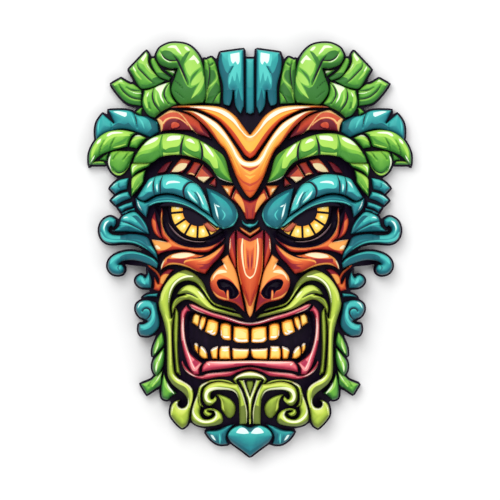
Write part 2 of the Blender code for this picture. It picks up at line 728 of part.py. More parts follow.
def boundary_loop(triangles):
    """The ordered outer edge of a set of triangles."""
    directed = {(tri[i - 1], tri[i]) for tri in triangles for i in range(3)}
    following = {a: b for a, b in directed if (b, a) not in directed}
    loop = [min(following)]
    while len(loop) < len(following):
        loop.append(following[loop[-1]])
    assert following[loop[-1]] == loop[0], "the board's outline touches itself"
    return loop


def carve_mask():
    features = all_features()
    recesses = all_recesses()
    silhouette = board_silhouette(features)
    front_plan, front_triangles = front_surface(silhouette, features, recesses)
    front_loop = boundary_loop(front_triangles)
    back_plan, back_triangles = back_surface(front_plan[front_loop])
    back_loop = boundary_loop(back_triangles)
    # The back's outer points are the front's, so that the wall between them is closed
    nearest = {}
    for index in back_loop:
        gaps = np.sum((front_plan[front_loop] - back_plan[index]) ** 2, axis=1)
        nearest[index] = int(np.argmin(gaps))
    assert len(front_loop) == len(back_loop)
    heights = front_height(front_plan, features, recesses)
    front = [(x, y, z) for (x, y), z in zip(front_plan, heights)]
    back = [(x, y, z) for (x, y), z in zip(back_plan, hollow(back_plan))]
    shift = len(front)
    ordered = sorted(back_loop, key=lambda index: nearest[index])
    faces = [tuple(tri) for tri in front_triangles]
    faces += [tuple(shift + i for i in reversed(tri)) for tri in back_triangles]
    for k, top in enumerate(front_loop):
        top_next = front_loop[(k + 1) % len(front_loop)]
        low, low_next = shift + ordered[k], shift + ordered[(k + 1) % len(ordered)]
        faces += [(top, low, low_next), (top, low_next, top_next)]
    mesh = bpy.data.meshes.new("mask")
    mesh.from_pydata(front + back, [], faces)
    mesh.validate()
    mesh.update()
    return mesh


def painted_wood():
    material = bpy.data.materials.new("painted_wood")
    material.use_nodes = True
    shader = material.node_tree.nodes["Principled BSDF"]
    shader.inputs["Base Color"].default_value = WOOD_COLOUR
    shader.inputs["Roughness"].default_value = WOOD_ROUGHNESS
    shader.inputs["Metallic"].default_value = 0.0
    return material


remove_old_objects()
mask_mesh = carve_mask()
mask_mesh.materials.append(painted_wood())
mask = bpy.data.objects.new("mask", mask_mesh)
bpy.context.scene.collection.objects.link(mask)
mask_mesh.shade_smooth()
mask_mesh.set_sharp_from_angle(angle=math.radians(35.0))
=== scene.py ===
import math

import bpy
import numpy as np
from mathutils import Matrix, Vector
from mathutils.geometry import delaunay_2d_cdt


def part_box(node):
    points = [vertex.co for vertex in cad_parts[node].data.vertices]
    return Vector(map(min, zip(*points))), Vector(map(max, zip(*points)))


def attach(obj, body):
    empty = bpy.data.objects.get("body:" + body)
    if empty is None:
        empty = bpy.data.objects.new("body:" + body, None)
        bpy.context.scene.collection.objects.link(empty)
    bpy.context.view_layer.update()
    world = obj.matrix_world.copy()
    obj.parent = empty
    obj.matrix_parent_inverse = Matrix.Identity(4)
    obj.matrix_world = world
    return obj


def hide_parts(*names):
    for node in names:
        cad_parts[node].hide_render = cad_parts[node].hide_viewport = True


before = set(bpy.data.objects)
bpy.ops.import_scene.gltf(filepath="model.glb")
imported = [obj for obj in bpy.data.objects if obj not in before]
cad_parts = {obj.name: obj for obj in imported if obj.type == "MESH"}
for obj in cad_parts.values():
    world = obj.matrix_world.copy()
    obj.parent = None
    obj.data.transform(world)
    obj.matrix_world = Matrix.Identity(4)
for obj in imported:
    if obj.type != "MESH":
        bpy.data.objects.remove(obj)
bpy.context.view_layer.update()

# The board: one block of wood, domed in front and hollowed behind, that carries all the
# carving. Its ground is stained near-black, so that every groove between two carved forms
# reads as a dark line. The back and the hollow are left as bare, chiselled wood.
MASK_LOW, MASK_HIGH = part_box("mask")
# Every outline and mark is given in squares of the carver's pattern: out from the centre
# line, up from the middle of the mask, and for a stroke its half-width as a third number.
PATTERN_HEIGHT = 418.0
SQUARE = (MASK_HIGH[1] - MASK_LOW[1]) / PATTERN_HEIGHT
EDGE_THICKNESS = 0.016
DOME_RISE = 0.044
DOME_HALF_WIDTH = 0.150
DOME_HALF_HEIGHT = 0.215
DOME_CENTRE_UP = -0.020
DOME_FULLNESS = 0.8
FRONT_WALL = 0.028
HOLLOW_HALF_WIDTH = 0.080
HOLLOW_HALF_HEIGHT = 0.150
HOLLOW_CENTRE_UP = -0.015
HOLLOW_FULLNESS = 0.6
RECESS_SLOPE = 0.004
BOARD_FACET = 0.0024
CORNER_TURN = math.radians(52.0)
CURVE_SAMPLES = 10
POINTS_AT_ONCE = 1500
WELD = 0.00005
LEAST_LENGTH = 1e-9
ALMOST_NOTHING = 1e-12
LEFT, RIGHT = -1.0, 1.0

PLANK_OUTLINE = [
    (0, 188), (31, 175), (47, 175), (68, 190), (90, 184), (100, 170), (108, 155), (120, 153),
    (108, 146), (108, 137), (112, 132), (125, 133), (136.4, 130.5), (142, 125), (150, 118),
    (153, 105), (155, 90), (146, 88), (138, 80), (126, 76), (119, 70), (123, 60), (119, 50),
    (117, 38), (120, 25), (135, 18), (130, 10), (110, 8), (100, 0), (110, -5), (122, -6),
    (129, -12.5), (121, -16), (100, -18), (102, -35), (100, -50), (110, -60), (100, -80),
    (92, -90), (94, -105), (94, -120), (100, -135), (90, -142), (74, -160), (64, -165), (55, -173),
    (42, -178), (38, -186), (20, -190), (0, -202),
]
NEAR_THE_EDGE = 0.0020
BOARD_OUTSET = 0.0020
SLIT_CLOSING = 0.0012
BACK_FACET = BOARD_FACET * 1.4
SHARP_FOLD = math.radians(50.0)
GOUGE_DEPTH = 0.0005
GOUGE_FADE = 0.006
GOUGE_ACROSS, GOUGE_ALONG, GOUGE_SLANT = 520.0, 210.0, 90.0
carved_rings = []
MOUTH_OUTLINE = [(0, -75), (10, -74), (28, -69), (48, -63), (59, -61), (63, -66), (64.5, -84),
    (60.5, -101), (51, -111), (47, -114), (42, -112), (0, -112)]
EYE_OUTLINE = [(98, 44), (85, 47), (70, 45.5), (54, 38), (39, 26.5), (28, 20), (20, 18), (28, 10),
    (42, 3), (60, 3), (78, 9), (87, 22), (92, 36)]
NOSTRIL_OUTLINE = [(33, -32), (27, -29), (16, -34.5), (11, -43), (14, -48), (22, -48), (26, -41.5),
    (33, -37)]
MOUTH_RECESS, EYE_RECESS, NOSTRIL_RECESS = 0.012, 0.007, 0.010


def on_pattern(points, side):
    """Squares of the carver's pattern to metres, on one side of the centre line."""
    return np.array([(side * out * SQUARE, up * SQUARE) for out, up, *_ in points])


def across_centre(points):
    """A left half, top to bottom, closed by its mirror image."""
    inner = [p for p in points if p[0] != 0]
    return np.concatenate([on_pattern(points, LEFT), on_pattern(inner[::-1], RIGHT)])


def catmull_rom(a, b, c, d, t):
    """The smooth curve from b to c, on its way from a to d, at each share t of the span."""
    t = np.asarray(t)[:, None]
    return 0.5 * (
        2.0 * b
        + (c - a) * t
        + (2.0 * a - 5.0 * b + 4.0 * c - d) * t**2
        + (3.0 * b - a - 3.0 * c + d) * t**3
    )


def smooth_outline(points):
    """The closed curve through the points, with a corner kept where it turns sharply."""
    step = np.roll(points, -1, axis=0) - points
    heading = np.arctan2(step[:, 1], step[:, 0])
    turn = np.abs((heading - np.roll(heading, 1) + math.pi) % (2.0 * math.pi) - math.pi)
    spans, count = [], len(points)
    shares = np.arange(CURVE_SAMPLES) / CURVE_SAMPLES
    for i in range(count):
        here, after = points[i], points[(i + 1) % count]
        before = here if turn[i] > CORNER_TURN else points[i - 1]
        beyond = after if turn[(i + 1) % count] > CORNER_TURN else points[(i + 2) % count]
        spans.append(catmull_rom(before, here, after, beyond, shares))
    ring = np.concatenate(spans)
    x, y = ring[:, 0], ring[:, 1]
    anticlockwise = np.sum(x * np.roll(y, -1) - np.roll(x, -1) * y) > 0.0
    return ring if anticlockwise else ring[::-1]


def signed_distance(points, ring):
    """Distance from each point to the ring, positive inside it."""
    along = np.roll(ring, -1, axis=0) - ring
    square = np.maximum(np.sum(along**2, axis=1), LEAST_LENGTH**2)
    rise = np.where(np.abs(along[:, 1]) < ALMOST_NOTHING, ALMOST_NOTHING, along[:, 1])
    found = []
    for part in np.array_split(points, len(points) // POINTS_AT_ONCE + 1):
        apart = part[:, None, :] - ring[None, :, :]
        share = np.clip(np.sum(apart * along[None], axis=2) / square[None], 0.0, 1.0)
        gap = apart - share[..., None] * along[None]
        nearest = np.sqrt(np.min(np.sum(gap**2, axis=2), axis=1))
        y = part[:, 1:2]
        spans = (ring[None, :, 1] > y) != (ring[None, :, 1] + along[None, :, 1] > y)
        crosses = spans & (apart[..., 0] < apart[..., 1] * along[None, :, 0] / rise[None])
        found.append(np.where(np.sum(crosses, axis=1) % 2 == 1, nearest, -nearest))
    return np.concatenate(found)


def close_to(points, ring, reach=0.0):
    """Which of the points lie in the box round the ring, widened by the reach."""
    low, high = ring.min(axis=0) - reach, ring.max(axis=0) + reach
    return np.all((points > low) & (points < high), axis=1)


def smoothstep(values):
    """From 0 to 1 with a soft start and a soft end."""
    values = np.clip(values, 0.0, 1.0)
    return values * values * (3.0 - 2.0 * values)


def quarter_round(values):
    """From 0 to 1 along a quarter of a circle, steep at first."""
    return np.sqrt(1.0 - (1.0 - np.clip(values, 0.0, 1.0)) ** 2)


def bulge(points, centre_up, half_width, half_height):
    """1 in the middle of an oval, 0 on its edge and beyond."""
    across = points[:, 0] / half_width
    along = (points[:, 1] - centre_up) / half_height
    return np.clip(1.0 - across**2 - along**2, 0.0, 1.0)


def dome(points):
    """Height of the ground before anything is carved into it."""
    oval = bulge(points, DOME_CENTRE_UP, DOME_HALF_WIDTH, DOME_HALF_HEIGHT)
    return EDGE_THICKNESS + DOME_RISE * oval**DOME_FULLNESS


def hollow(points):
    """Height of the hollow behind, 0 on the flat rim."""
    oval = bulge(points, HOLLOW_CENTRE_UP, HOLLOW_HALF_WIDTH, HOLLOW_HALF_HEIGHT)
    return (EDGE_THICKNESS + DOME_RISE - FRONT_WALL) * oval**HOLLOW_FULLNESS


recesses = [(MOUTH_RECESS, smooth_outline(across_centre(MOUTH_OUTLINE)))]
for side in (LEFT, RIGHT):
    recesses.append((EYE_RECESS, smooth_outline(on_pattern(EYE_OUTLINE, side))))
    recesses.append((NOSTRIL_RECESS, smooth_outline(on_pattern(NOSTRIL_OUTLINE, side))))


def floor_height(points):
    """The ground between the carved forms, with eyes, nostrils and mouth sunk into it."""
    height = dome(points)
    for depth, ring in recesses:
        near = close_to(points, ring)
        if near.any():
            inside = signed_distance(points[near], ring)
            height[near] -= depth * smoothstep(inside / RECESS_SLOPE)
    return height


def net_over(ring, spacing):
    """A triangular net of points over the box round the ring."""
    low, high = ring.min(axis=0), ring.max(axis=0)
    rows = np.arange(low[1], high[1], spacing * math.sqrt(3.0) / 2.0)
    columns = np.arange(low[0], high[0] + spacing, spacing)
    x, y = np.meshgrid(columns, rows)
    x = x + 0.5 * spacing * (np.arange(len(rows)) % 2)[:, None]
    return np.stack([x.ravel(), y.ravel()], axis=1)


def triangles_inside(ring, loose):
    """Delaunay triangles over a ring and loose points inside it; the ring's edges are kept."""
    points = [tuple(p) for p in np.concatenate([ring, loose])]
    outline = list(range(len(ring)))
    found = delaunay_2d_cdt(points, [], [outline], 0, WELD, True)
    plan = np.array([tuple(v) for v in found[0]])
    return plan, [tri for tri, owner in zip(found[2], found[5]) if owner]


def filled_net(ring, spacing, clear):
    """Triangles over a ring, with a net of points inside that stays clear of its edge."""
    loose = net_over(ring, spacing)
    return triangles_inside(ring, loose[signed_distance(loose, ring) > clear])


def outer_edge(triangles):
    """Pairs of points along the free edge of a sheet of triangles."""
    edges = {(tri[i - 1], tri[i]) for tri in triangles for i in range(3)}
    return [(a, b) for a, b in edges if (b, a) not in edges]


def board_outline():
    """The way round the board and all that is carved on it, with narrow slits filled."""
    plank = smooth_outline(across_centre(PLANK_OUTLINE))
    rings = [plank]
    for ring in carved_rings:
        if signed_distance(ring, plank).min() < NEAR_THE_EDGE:
            # Every third point is enough for a border
            rings.append(offset_ring(ring[::3], BOARD_OUTSET + SLIT_CLOSING))
    joined = offset_ring(outer_boundary(rings), -SLIT_CLOSING)
    return even_ring(outer_boundary([joined]), BOARD_FACET)


def outer_boundary(rings):
    """The longest way round everything that the rings cover."""
    points, faces = [], []
    for ring in rings:
        faces.append(list(range(len(points), len(points) + len(ring))))
        points += [tuple(p) for p in ring]
    verts, _, triangles, _, _, owners = delaunay_2d_cdt(points, [], faces, 0, WELD, True)
    following = {}
    for a, b in sorted(outer_edge([tri for tri, owner in zip(triangles, owners) if owner])):
        following.setdefault(a, []).append(b)
    loops = []
    while following:
        path = [min(following)]
        while path and path[-1] in following:
            here = path[-1]
            beyond = following[here].pop()
            if not following[here]:
                del following[here]
            if beyond in path:
                first = path.index(beyond)
                loops.append(np.array([tuple(verts[i]) for i in path[first:]]))
                path = path[: first + 1] if first else []
            else:
                path.append(beyond)
    return max(loops, key=lambda loop: len(loop) and float(np.prod(np.ptp(loop, axis=0))))


def offset_ring(ring, distance):
    """The ring moved outwards, or inwards where the distance is negative."""
    forward = np.roll(ring, -1, axis=0) - ring
    forward /= np.maximum(np.linalg.norm(forward, axis=1), LEAST_LENGTH)[:, None]
    tangent = forward + np.roll(forward, 1, axis=0)
    tangent /= np.maximum(np.linalg.norm(tangent, axis=1), LEAST_LENGTH)[:, None]
    return ring + distance * np.stack([tangent[:, 1], -tangent[:, 0]], axis=1)


def even_ring(ring, spacing):
    """The ring with points at most this far apart and none closer than a third of it."""
    kept = [ring[0]]
    for point in ring[1:]:
        if np.hypot(*(point - kept[-1])) > spacing / 3.0:
            kept.append(point)
    evened = []
    for here, after in zip(kept, kept[1:] + kept[:1]):
        pieces = max(1, math.ceil(np.hypot(*(after - here)) / spacing))
        evened += [here + (after - here) * k / pieces for k in range(pieces)]
    return np.array(evened)


def srgb(code):
    """A colour written as on a paint chart, as linear values."""
    parts = [int(code[i : i + 2], 16) / 255.0 for i in (1, 3, 5)]
    linear = [c / 12.92 if c <= 0.04045 else ((c + 0.055) / 1.055) ** 2.4 for c in parts]
    return (*linear, 1.0)


def new_material(name, roughness):
    """A material with its nodes and its shader."""
    material = bpy.data.materials.new(name)
    material.use_nodes = True
    tree = material.node_tree
    shader = tree.nodes["Principled BSDF"]
    shader.inputs["Roughness"].default_value = roughness
    return material, tree, shader


def feed(tree, node, inputs):
    """Set each input of a node to a value, or join it to another node's output."""
    for key, value in inputs.items():
        if isinstance(value, bpy.types.NodeSocket):
            tree.links.new(value, node.inputs[key])
        else:
            node.inputs[key].default_value = value


def add(tree, kind, inputs=None, **settings):
    """A new node with its settings and inputs."""
    node = tree.nodes.new(kind)
    for key, value in settings.items():
        setattr(node, key, value)
    feed(tree, node, inputs or {})
    return node


def grain(tree, scale, stretch=(1.0, 0.12, 1.0), detail=4.0):
    """Noise drawn out along the block's length, as wood grain and brush strokes are."""
    place = add(tree, "ShaderNodeTexCoord").outputs["Object"]
    drawn_out = add(tree, "ShaderNodeMapping", {"Vector": place, "Scale": stretch})
    noise = {"Vector": drawn_out.outputs["Vector"], "Scale": scale, "Detail": detail}
    return add(tree, "ShaderNodeTexNoise", {**noise, "Roughness": 0.6}).outputs["Fac"]


def ramp(tree, value, places, colours):
    """Colours that follow a value, blending from each place to the next."""
    node = add(tree, "ShaderNodeValToRGB", {"Fac": value})
    stops = node.color_ramp.elements
    stops[0].position, stops[1].position = places[0], places[-1]
    for place in places[1:-1]:
        stops.new(place)
    for stop, colour in zip(stops, colours):
        stop.color = srgb(colour)
    return node.outputs["Color"]


def bump(tree, shader, height, strength, distance):
    """Fine relief of a surface, too shallow to carve."""
    relief = {"Height": height, "Strength": strength, "Distance": distance}
    feed(tree, shader, {"Normal": add(tree, "ShaderNodeBump", relief).outputs["Normal"]})


def stained_ground():
    """Near-black stain, in which the grain still shows a little."""
    material, tree, shader = new_material("ground_stain", roughness=0.6)
    fibres = grain(tree, scale=260.0)
    colour = ramp(tree, fibres, (0.35, 0.75), ("#10061a", "#1b0d28"))
    feed(tree, shader, {"Base Color": colour, "Specular IOR Level": 0.12})
    bump(tree, shader, fibres, strength=0.4, distance=0.0004)
    return material


def bare_wood():
    """Unpainted wood with long grain, as the back is left."""
    material, tree, shader = new_material("bare_wood", roughness=0.62)
    broad = grain(tree, scale=40.0, stretch=(1.0, 0.05, 1.0), detail=8.0)
    fine = grain(tree, scale=300.0, stretch=(1.0, 0.06, 1.0))
    browns = ("#5d3a20", "#8a5b34", "#a87648", "#c19262")
    feed(tree, shader, {"Base Color": ramp(tree, broad, (0.25, 0.45, 0.6, 0.8), browns)})
    bump(tree, shader, fine, strength=0.5, distance=0.0005)
    return material


def new_object(name, data):
    """An object in the scene, at the origin."""
    made = bpy.data.objects.new(name, data)
    bpy.context.scene.collection.objects.link(made)
    return made


def plain_piece(name, verts, faces, materials, attributes=None, slots=None):
    """A closed mesh object standing at the origin."""
    mesh = bpy.data.meshes.new(name)
    mesh.from_pydata(verts, [], faces)
    for material in materials:
        mesh.materials.append(material)
    if slots is not None:
        mesh.polygons.foreach_set("material_index", slots)
    for key, values in (attributes or {}).items():
        layer = mesh.attributes.new(key, "FLOAT", "POINT")
        layer.data.foreach_set("value", np.asarray(values, dtype=np.float32))
    mesh.shade_smooth()
    mesh.set_sharp_from_angle(angle=SHARP_FOLD)
    return new_object(name, mesh)


def declare(piece):
    """Say that the piece is part of the one carved block."""
    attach(piece, "root")
    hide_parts("mask")
    return piece


def carve_board():
    """The board as one mesh: its ground in front, its hollow behind, and the edge between."""
    ring = board_outline()
    front_plan, front_faces = filled_net(ring, BOARD_FACET, BOARD_FACET * 0.5)
    back_plan, back_faces = filled_net(ring, BACK_FACET, BACK_FACET * 0.5)
    # Shallow scoops of a gouge, in rows down the hollow
    across, along = back_plan.T
    scoops = np.sin(across * GOUGE_ACROSS) * np.sin(along * GOUGE_ALONG + across * GOUGE_SLANT)
    deep = hollow(back_plan)
    scooped = deep + GOUGE_DEPTH * scoops * smoothstep(deep / GOUGE_FADE)
    verts = np.concatenate([
        np.column_stack([front_plan, floor_height(front_plan)]),
        np.column_stack([back_plan, np.where(deep > 0.0, scooped, 0.0)]),
    ])
    shift = len(front_plan)
    faces = [tuple(tri) for tri in front_faces]
    faces += [tuple(shift + i for i in reversed(tri)) for tri in back_faces]
    slots = [0] * len(front_faces) + [1] * len(back_faces)
    below = {
        tuple(np.round(back_plan[k], 6)): shift + k
        for pair in outer_edge(back_faces)
        for k in pair
    }
    for a, b in outer_edge(front_faces):
        low_a, low_b = (below[tuple(np.round(front_plan[k], 6))] for k in (a, b))
        faces += [(b, a, low_a), (b, low_a, low_b)]
        slots += [0, 0]
    return declare(plain_piece("board", verts, faces, [stained_ground(), bare_wood()], slots=slots))

# The crown of leaves: broad green leaves carved in layers over the forehead, the big
# one on each side rolled forward at its tip. Each is cut as a swelling form with a dark
# groove round it and knife-cut veins, then painted in greens from shade to light.

# How a form is cut: its net of points, its rounded edge, its veins and its pits
MILLIMETRE = 0.001
CARVE_FACET = 0.00120
EDGE_FACET = CARVE_FACET * 1.1
INNER_CLEAR = CARVE_FACET * 1.7
EDGE_ROUND = 0.0017
EDGE_STEPS = (0.3, 0.95)
STEP_CLEAR = 0.85
SINK = 0.0010
VEIN_DEPTH = 0.0013
VEIN_SLOPE = 0.0009
STROKE_STEP = 0.0007
MARK_REACH = 0.004
FAR_AWAY = 1.0
PIT_DEPTH = 0.012
PIT_SLOPE = 0.004
# How it is painted: by the light it seems to catch, with streaks, marks and a dark border
PAINTERS_LIGHT = np.array([0.0, 0.72, 0.69])
# The marks of a form: cut veins, painted light, painted shade and painted highlights
MARKS = ("crease", "lit", "shade", "painted_highlight")
TONE_PLACES = (0.28, 0.52, 0.74, 0.93)
STREAK_SCALE, STREAK_STRETCH, STREAK_SPREAD = 220.0, (1.0, 0.35, 1.0), 0.16
LINE_STAIN = "#150b20"
RIM_LINE = 0.0008
PATCH_EDGE, LINE_EDGE, RIM_EDGE = 0.0004, 0.0003, 0.00035


def stroke_distance(points, path, side):
    """Distance to a tapering stroke, negative inside; rows are out, up, half-width."""
    rows = np.array([(side * out, up, half_width) for out, up, half_width in path]) * SQUARE
    ends = np.concatenate([rows[:1], rows, rows[-1:]])
    line = []
    for i in range(len(rows) - 1):
        length = np.hypot(*(rows[i + 1, :2] - rows[i, :2]))
        steps = max(2, math.ceil(length / STROKE_STEP))
        line.append(catmull_rom(*ends[i : i + 4], np.arange(steps) / steps))
    line = np.concatenate(line + [rows[-1:]])
    near = close_to(points, line[:, :2], float(line[:, 2].max()) + MARK_REACH)
    found = np.full(len(points), FAR_AWAY)
    if near.any():
        apart = points[near][:, None, :] - line[None, :, :2]
        found[near] = np.min(np.hypot(apart[..., 0], apart[..., 1]) - line[None, :, 2], axis=1)
    return found


def area_distance(points, outline, side):
    """Distance to a painted area, negative inside; rows are out, up."""
    ring = smooth_outline(on_pattern(outline, side))
    near = close_to(points, ring, MARK_REACH)
    found = np.full(len(points), FAR_AWAY)
    if near.any():
        found[near] = -signed_distance(points[near], ring)
    return found


def mark_distance(points, marks, sides):
    """Nearest of several marks: rows of three make a stroke, rows of two an area."""
    found = np.full(len(points), FAR_AWAY)
    for mark in marks:
        measure = stroke_distance if len(mark[0]) == 3 else area_distance
        for side in sides:
            found = np.minimum(found, measure(points, mark, side))
    return found


def carve(lift, crown, outline, centre=False, fade=None, base=0.0, rim=1.0, pits=(), **marks):
    """One carved form, or its pair: verts, faces and the painter's marks on each point.

    Lift is how far its edge stands over the dome, crown how far it swells above that, both
    in millimetres. Base makes the paint paler or darker, fade adds painted light towards one
    end and painted shade towards the other, and rim narrows its dark border. Veins (crease)
    and pits are cut in; the other marks, painted light, painted shade and painted
    highlights, are only painted on."""
    ring = across_centre(outline) if centre else on_pattern(outline, LEFT)
    sides = (LEFT, RIGHT) if centre else (LEFT,)
    ring = even_ring(smooth_outline(ring), EDGE_FACET)
    carved_rings.append(ring)
    if not centre:
        carved_rings.append(ring[::-1] * (-1.0, 1.0))
    loose = net_over(ring, CARVE_FACET)
    inside = signed_distance(loose, ring)
    widest = max(float(inside.max()), MILLIMETRE)
    loose = loose[inside > INNER_CLEAR]
    for step in EDGE_STEPS:
        near = offset_ring(ring, -step * EDGE_ROUND)
        clear = signed_distance(near, ring) > STEP_CLEAR * step * EDGE_ROUND
        loose = np.concatenate([loose, near[clear]])
    plan, triangles = triangles_inside(ring, loose)
    inside = np.maximum(signed_distance(plan, ring), 0.0)
    ground = floor_height(plan)
    top = dome(plan) + MILLIMETRE * lift + MILLIMETRE * crown * quarter_round(inside / widest)
    risen = quarter_round(inside / EDGE_ROUND)
    found = {key: mark_distance(plan, marks.get(key, ()), sides) for key in MARKS}
    cut = 1.0 - smoothstep(found["crease"] / VEIN_SLOPE)
    height = ground + (top - ground) * risen - VEIN_DEPTH * cut * risen
    pit = mark_distance(plan, pits, sides)
    height -= PIT_DEPTH * smoothstep(-pit / PIT_SLOPE)
    found["crease"] = np.minimum(found["crease"], pit)
    found["rim"] = inside / rim
    # Painted light and shade: each point is paler where it faces the painter's light from above and
    # darker where it turns away; base shifts the whole form paler or darker
    found["tone_and_painted_shading"] = painted_shading_from_slope(plan, triangles, height - dome(plan)) + base
    # A fade adds more painted light at its start and painted shade at its end, or the reverse when
    # its amount is below zero
    if fade is not None:
        start, end = np.array(fade[:2]) * SQUARE
        spot = np.column_stack([np.abs(plan[:, 0]), plan[:, 1]])
        along = (spot - start) @ (end - start) / np.sum((end - start) ** 2)
        found["tone_and_painted_shading"] = found["tone_and_painted_shading"] + fade[2] * (1.0 - 2.0 * np.clip(along, 0.0, 1.0))
    verts, faces, found = closed_form(plan, triangles, height, ground - SINK, found)
    if centre:
        return [(verts, faces, found)]
    other = verts * (-1.0, 1.0, 1.0)
    return [(verts, faces, found), (other, [face[::-1] for face in faces], found)]


def closed_form(plan, triangles, height, below, marks):
    """Walls down from the edge of the top and a flat underside: verts, faces, marks."""
    edge = dict(outer_edge(triangles))
    path = [next(iter(edge))]
    while edge[path[-1]] != path[0] and len(path) <= len(edge):
        path.append(edge[path[-1]])
    if len(path) != len(edge):
        raise ValueError("the outline of a form touches itself")
    shift = len(plan)
    faces = [tuple(tri) for tri in triangles]
    for k, here in enumerate(path):
        beyond = (k + 1) % len(path)
        faces.append((path[beyond], here, shift + k, shift + beyond))
    faces.append(tuple(shift + k for k in reversed(range(len(path)))))
    top, foot = np.column_stack([plan, height]), np.column_stack([plan[path], below[path]])
    marks = {key: np.concatenate([value, value[path]]) for key, value in marks.items()}
    return np.concatenate([top, foot]), faces, marks


def painted_shading_from_slope(plan, triangles, height):
    """How far each point of the form faces the painter's light, from above: its painted light and
    shade.
    """
    triangles = np.array(triangles)
    corners = np.column_stack([plan, height])[triangles]
    normals = np.cross(corners[:, 1] - corners[:, 0], corners[:, 2] - corners[:, 0])
    summed = np.zeros((len(plan), 3))
    for k in range(3):
        np.add.at(summed, triangles[:, k], normals)
    summed /= np.maximum(np.linalg.norm(summed, axis=1), ALMOST_NOTHING)[:, None]
    return summed @ PAINTERS_LIGHT


def carve_piece(name, paint, shapes):
    """Carve the forms of one group, each with its mirror image, and join them in one mesh."""
    verts, faces, marks = [], [], {}
    count = 0
    for form_verts, form_faces, found in (form for shape in shapes for form in carve(**shape)):
        faces += [tuple(count + i for i in face) for face in form_faces]
        count += len(form_verts)
        verts.append(form_verts)
        for key, values in found.items():
            marks.setdefault(key, []).append(values)
    marks = {key: np.concatenate(values) for key, values in marks.items()}
    return declare(plain_piece(name, np.concatenate(verts), faces, [paint], marks))


def brushed_paint(
    name, shades, painted_highlight="#ffffff", lit=None, shade=None, line=LINE_STAIN, shine=0.18, rough=0.45
):
    """Satin paint laid on in flat tones, with light and shade painted in: shades from dark to
    pale follow how the form faces the painter's light, and the painter's marks (painted light,
    painted shade, painted highlights, dark lines) lie over them with crisp edges."""
    material, tree, shader = new_material(name, rough)

    def attribute(key):
        return add(tree, "ShaderNodeAttribute", attribute_name=key).outputs["Fac"]

    def sum_of(inputs, operation):
        return add(tree, "ShaderNodeMath", inputs, operation=operation).outputs[0]

    # The shades are lit and shaded copies of one paint, picked by each point's painted light and
    # shade, with brush streaks to break them up
    streaks = grain(tree, STREAK_SCALE, STREAK_STRETCH, detail=3.0)
    wander = sum_of({0: streaks, 1: STREAK_SPREAD, 2: -STREAK_SPREAD / 2.0}, "MULTIPLY_ADD")
    tone_and_painted_shading = sum_of({0: attribute("tone_and_painted_shading"), 1: wander}, "ADD")
    colour = ramp(tree, tone_and_painted_shading, TONE_PLACES, shades)
    # Painted shade, painted light and painted highlights over the shades, then the dark lines of
    # veins and border
    layers = (
        ("shade", shade or shades[0], 0.0, PATCH_EDGE),
        ("lit", lit or shades[-2], 0.0, PATCH_EDGE),
        ("painted_highlight", painted_highlight, 0.0, LINE_EDGE),
        ("crease", line, 0.0, LINE_EDGE),
        ("rim", line, RIM_LINE, RIM_EDGE),
    )
    for key, paint, middle, soft in layers:
        edge = {"From Min": middle - soft, "From Max": middle + soft, "To Min": 1.0, "To Max": 0.0}
        edge["Value"] = attribute(key)
        over = add(tree, "ShaderNodeMapRange", edge, interpolation_type="SMOOTHSTEP")
        # A mix has its share at socket 0 and its two colours at 6 and 7
        mix = {0: over.outputs["Result"], 6: colour, 7: srgb(paint)}
        colour = add(tree, "ShaderNodeMix", mix, data_type="RGBA").outputs[2]
    feed(tree, shader, {"Base Color": colour, "Specular IOR Level": shine})
    bump(tree, shader, streaks, strength=0.25, distance=0.0003)
    return material


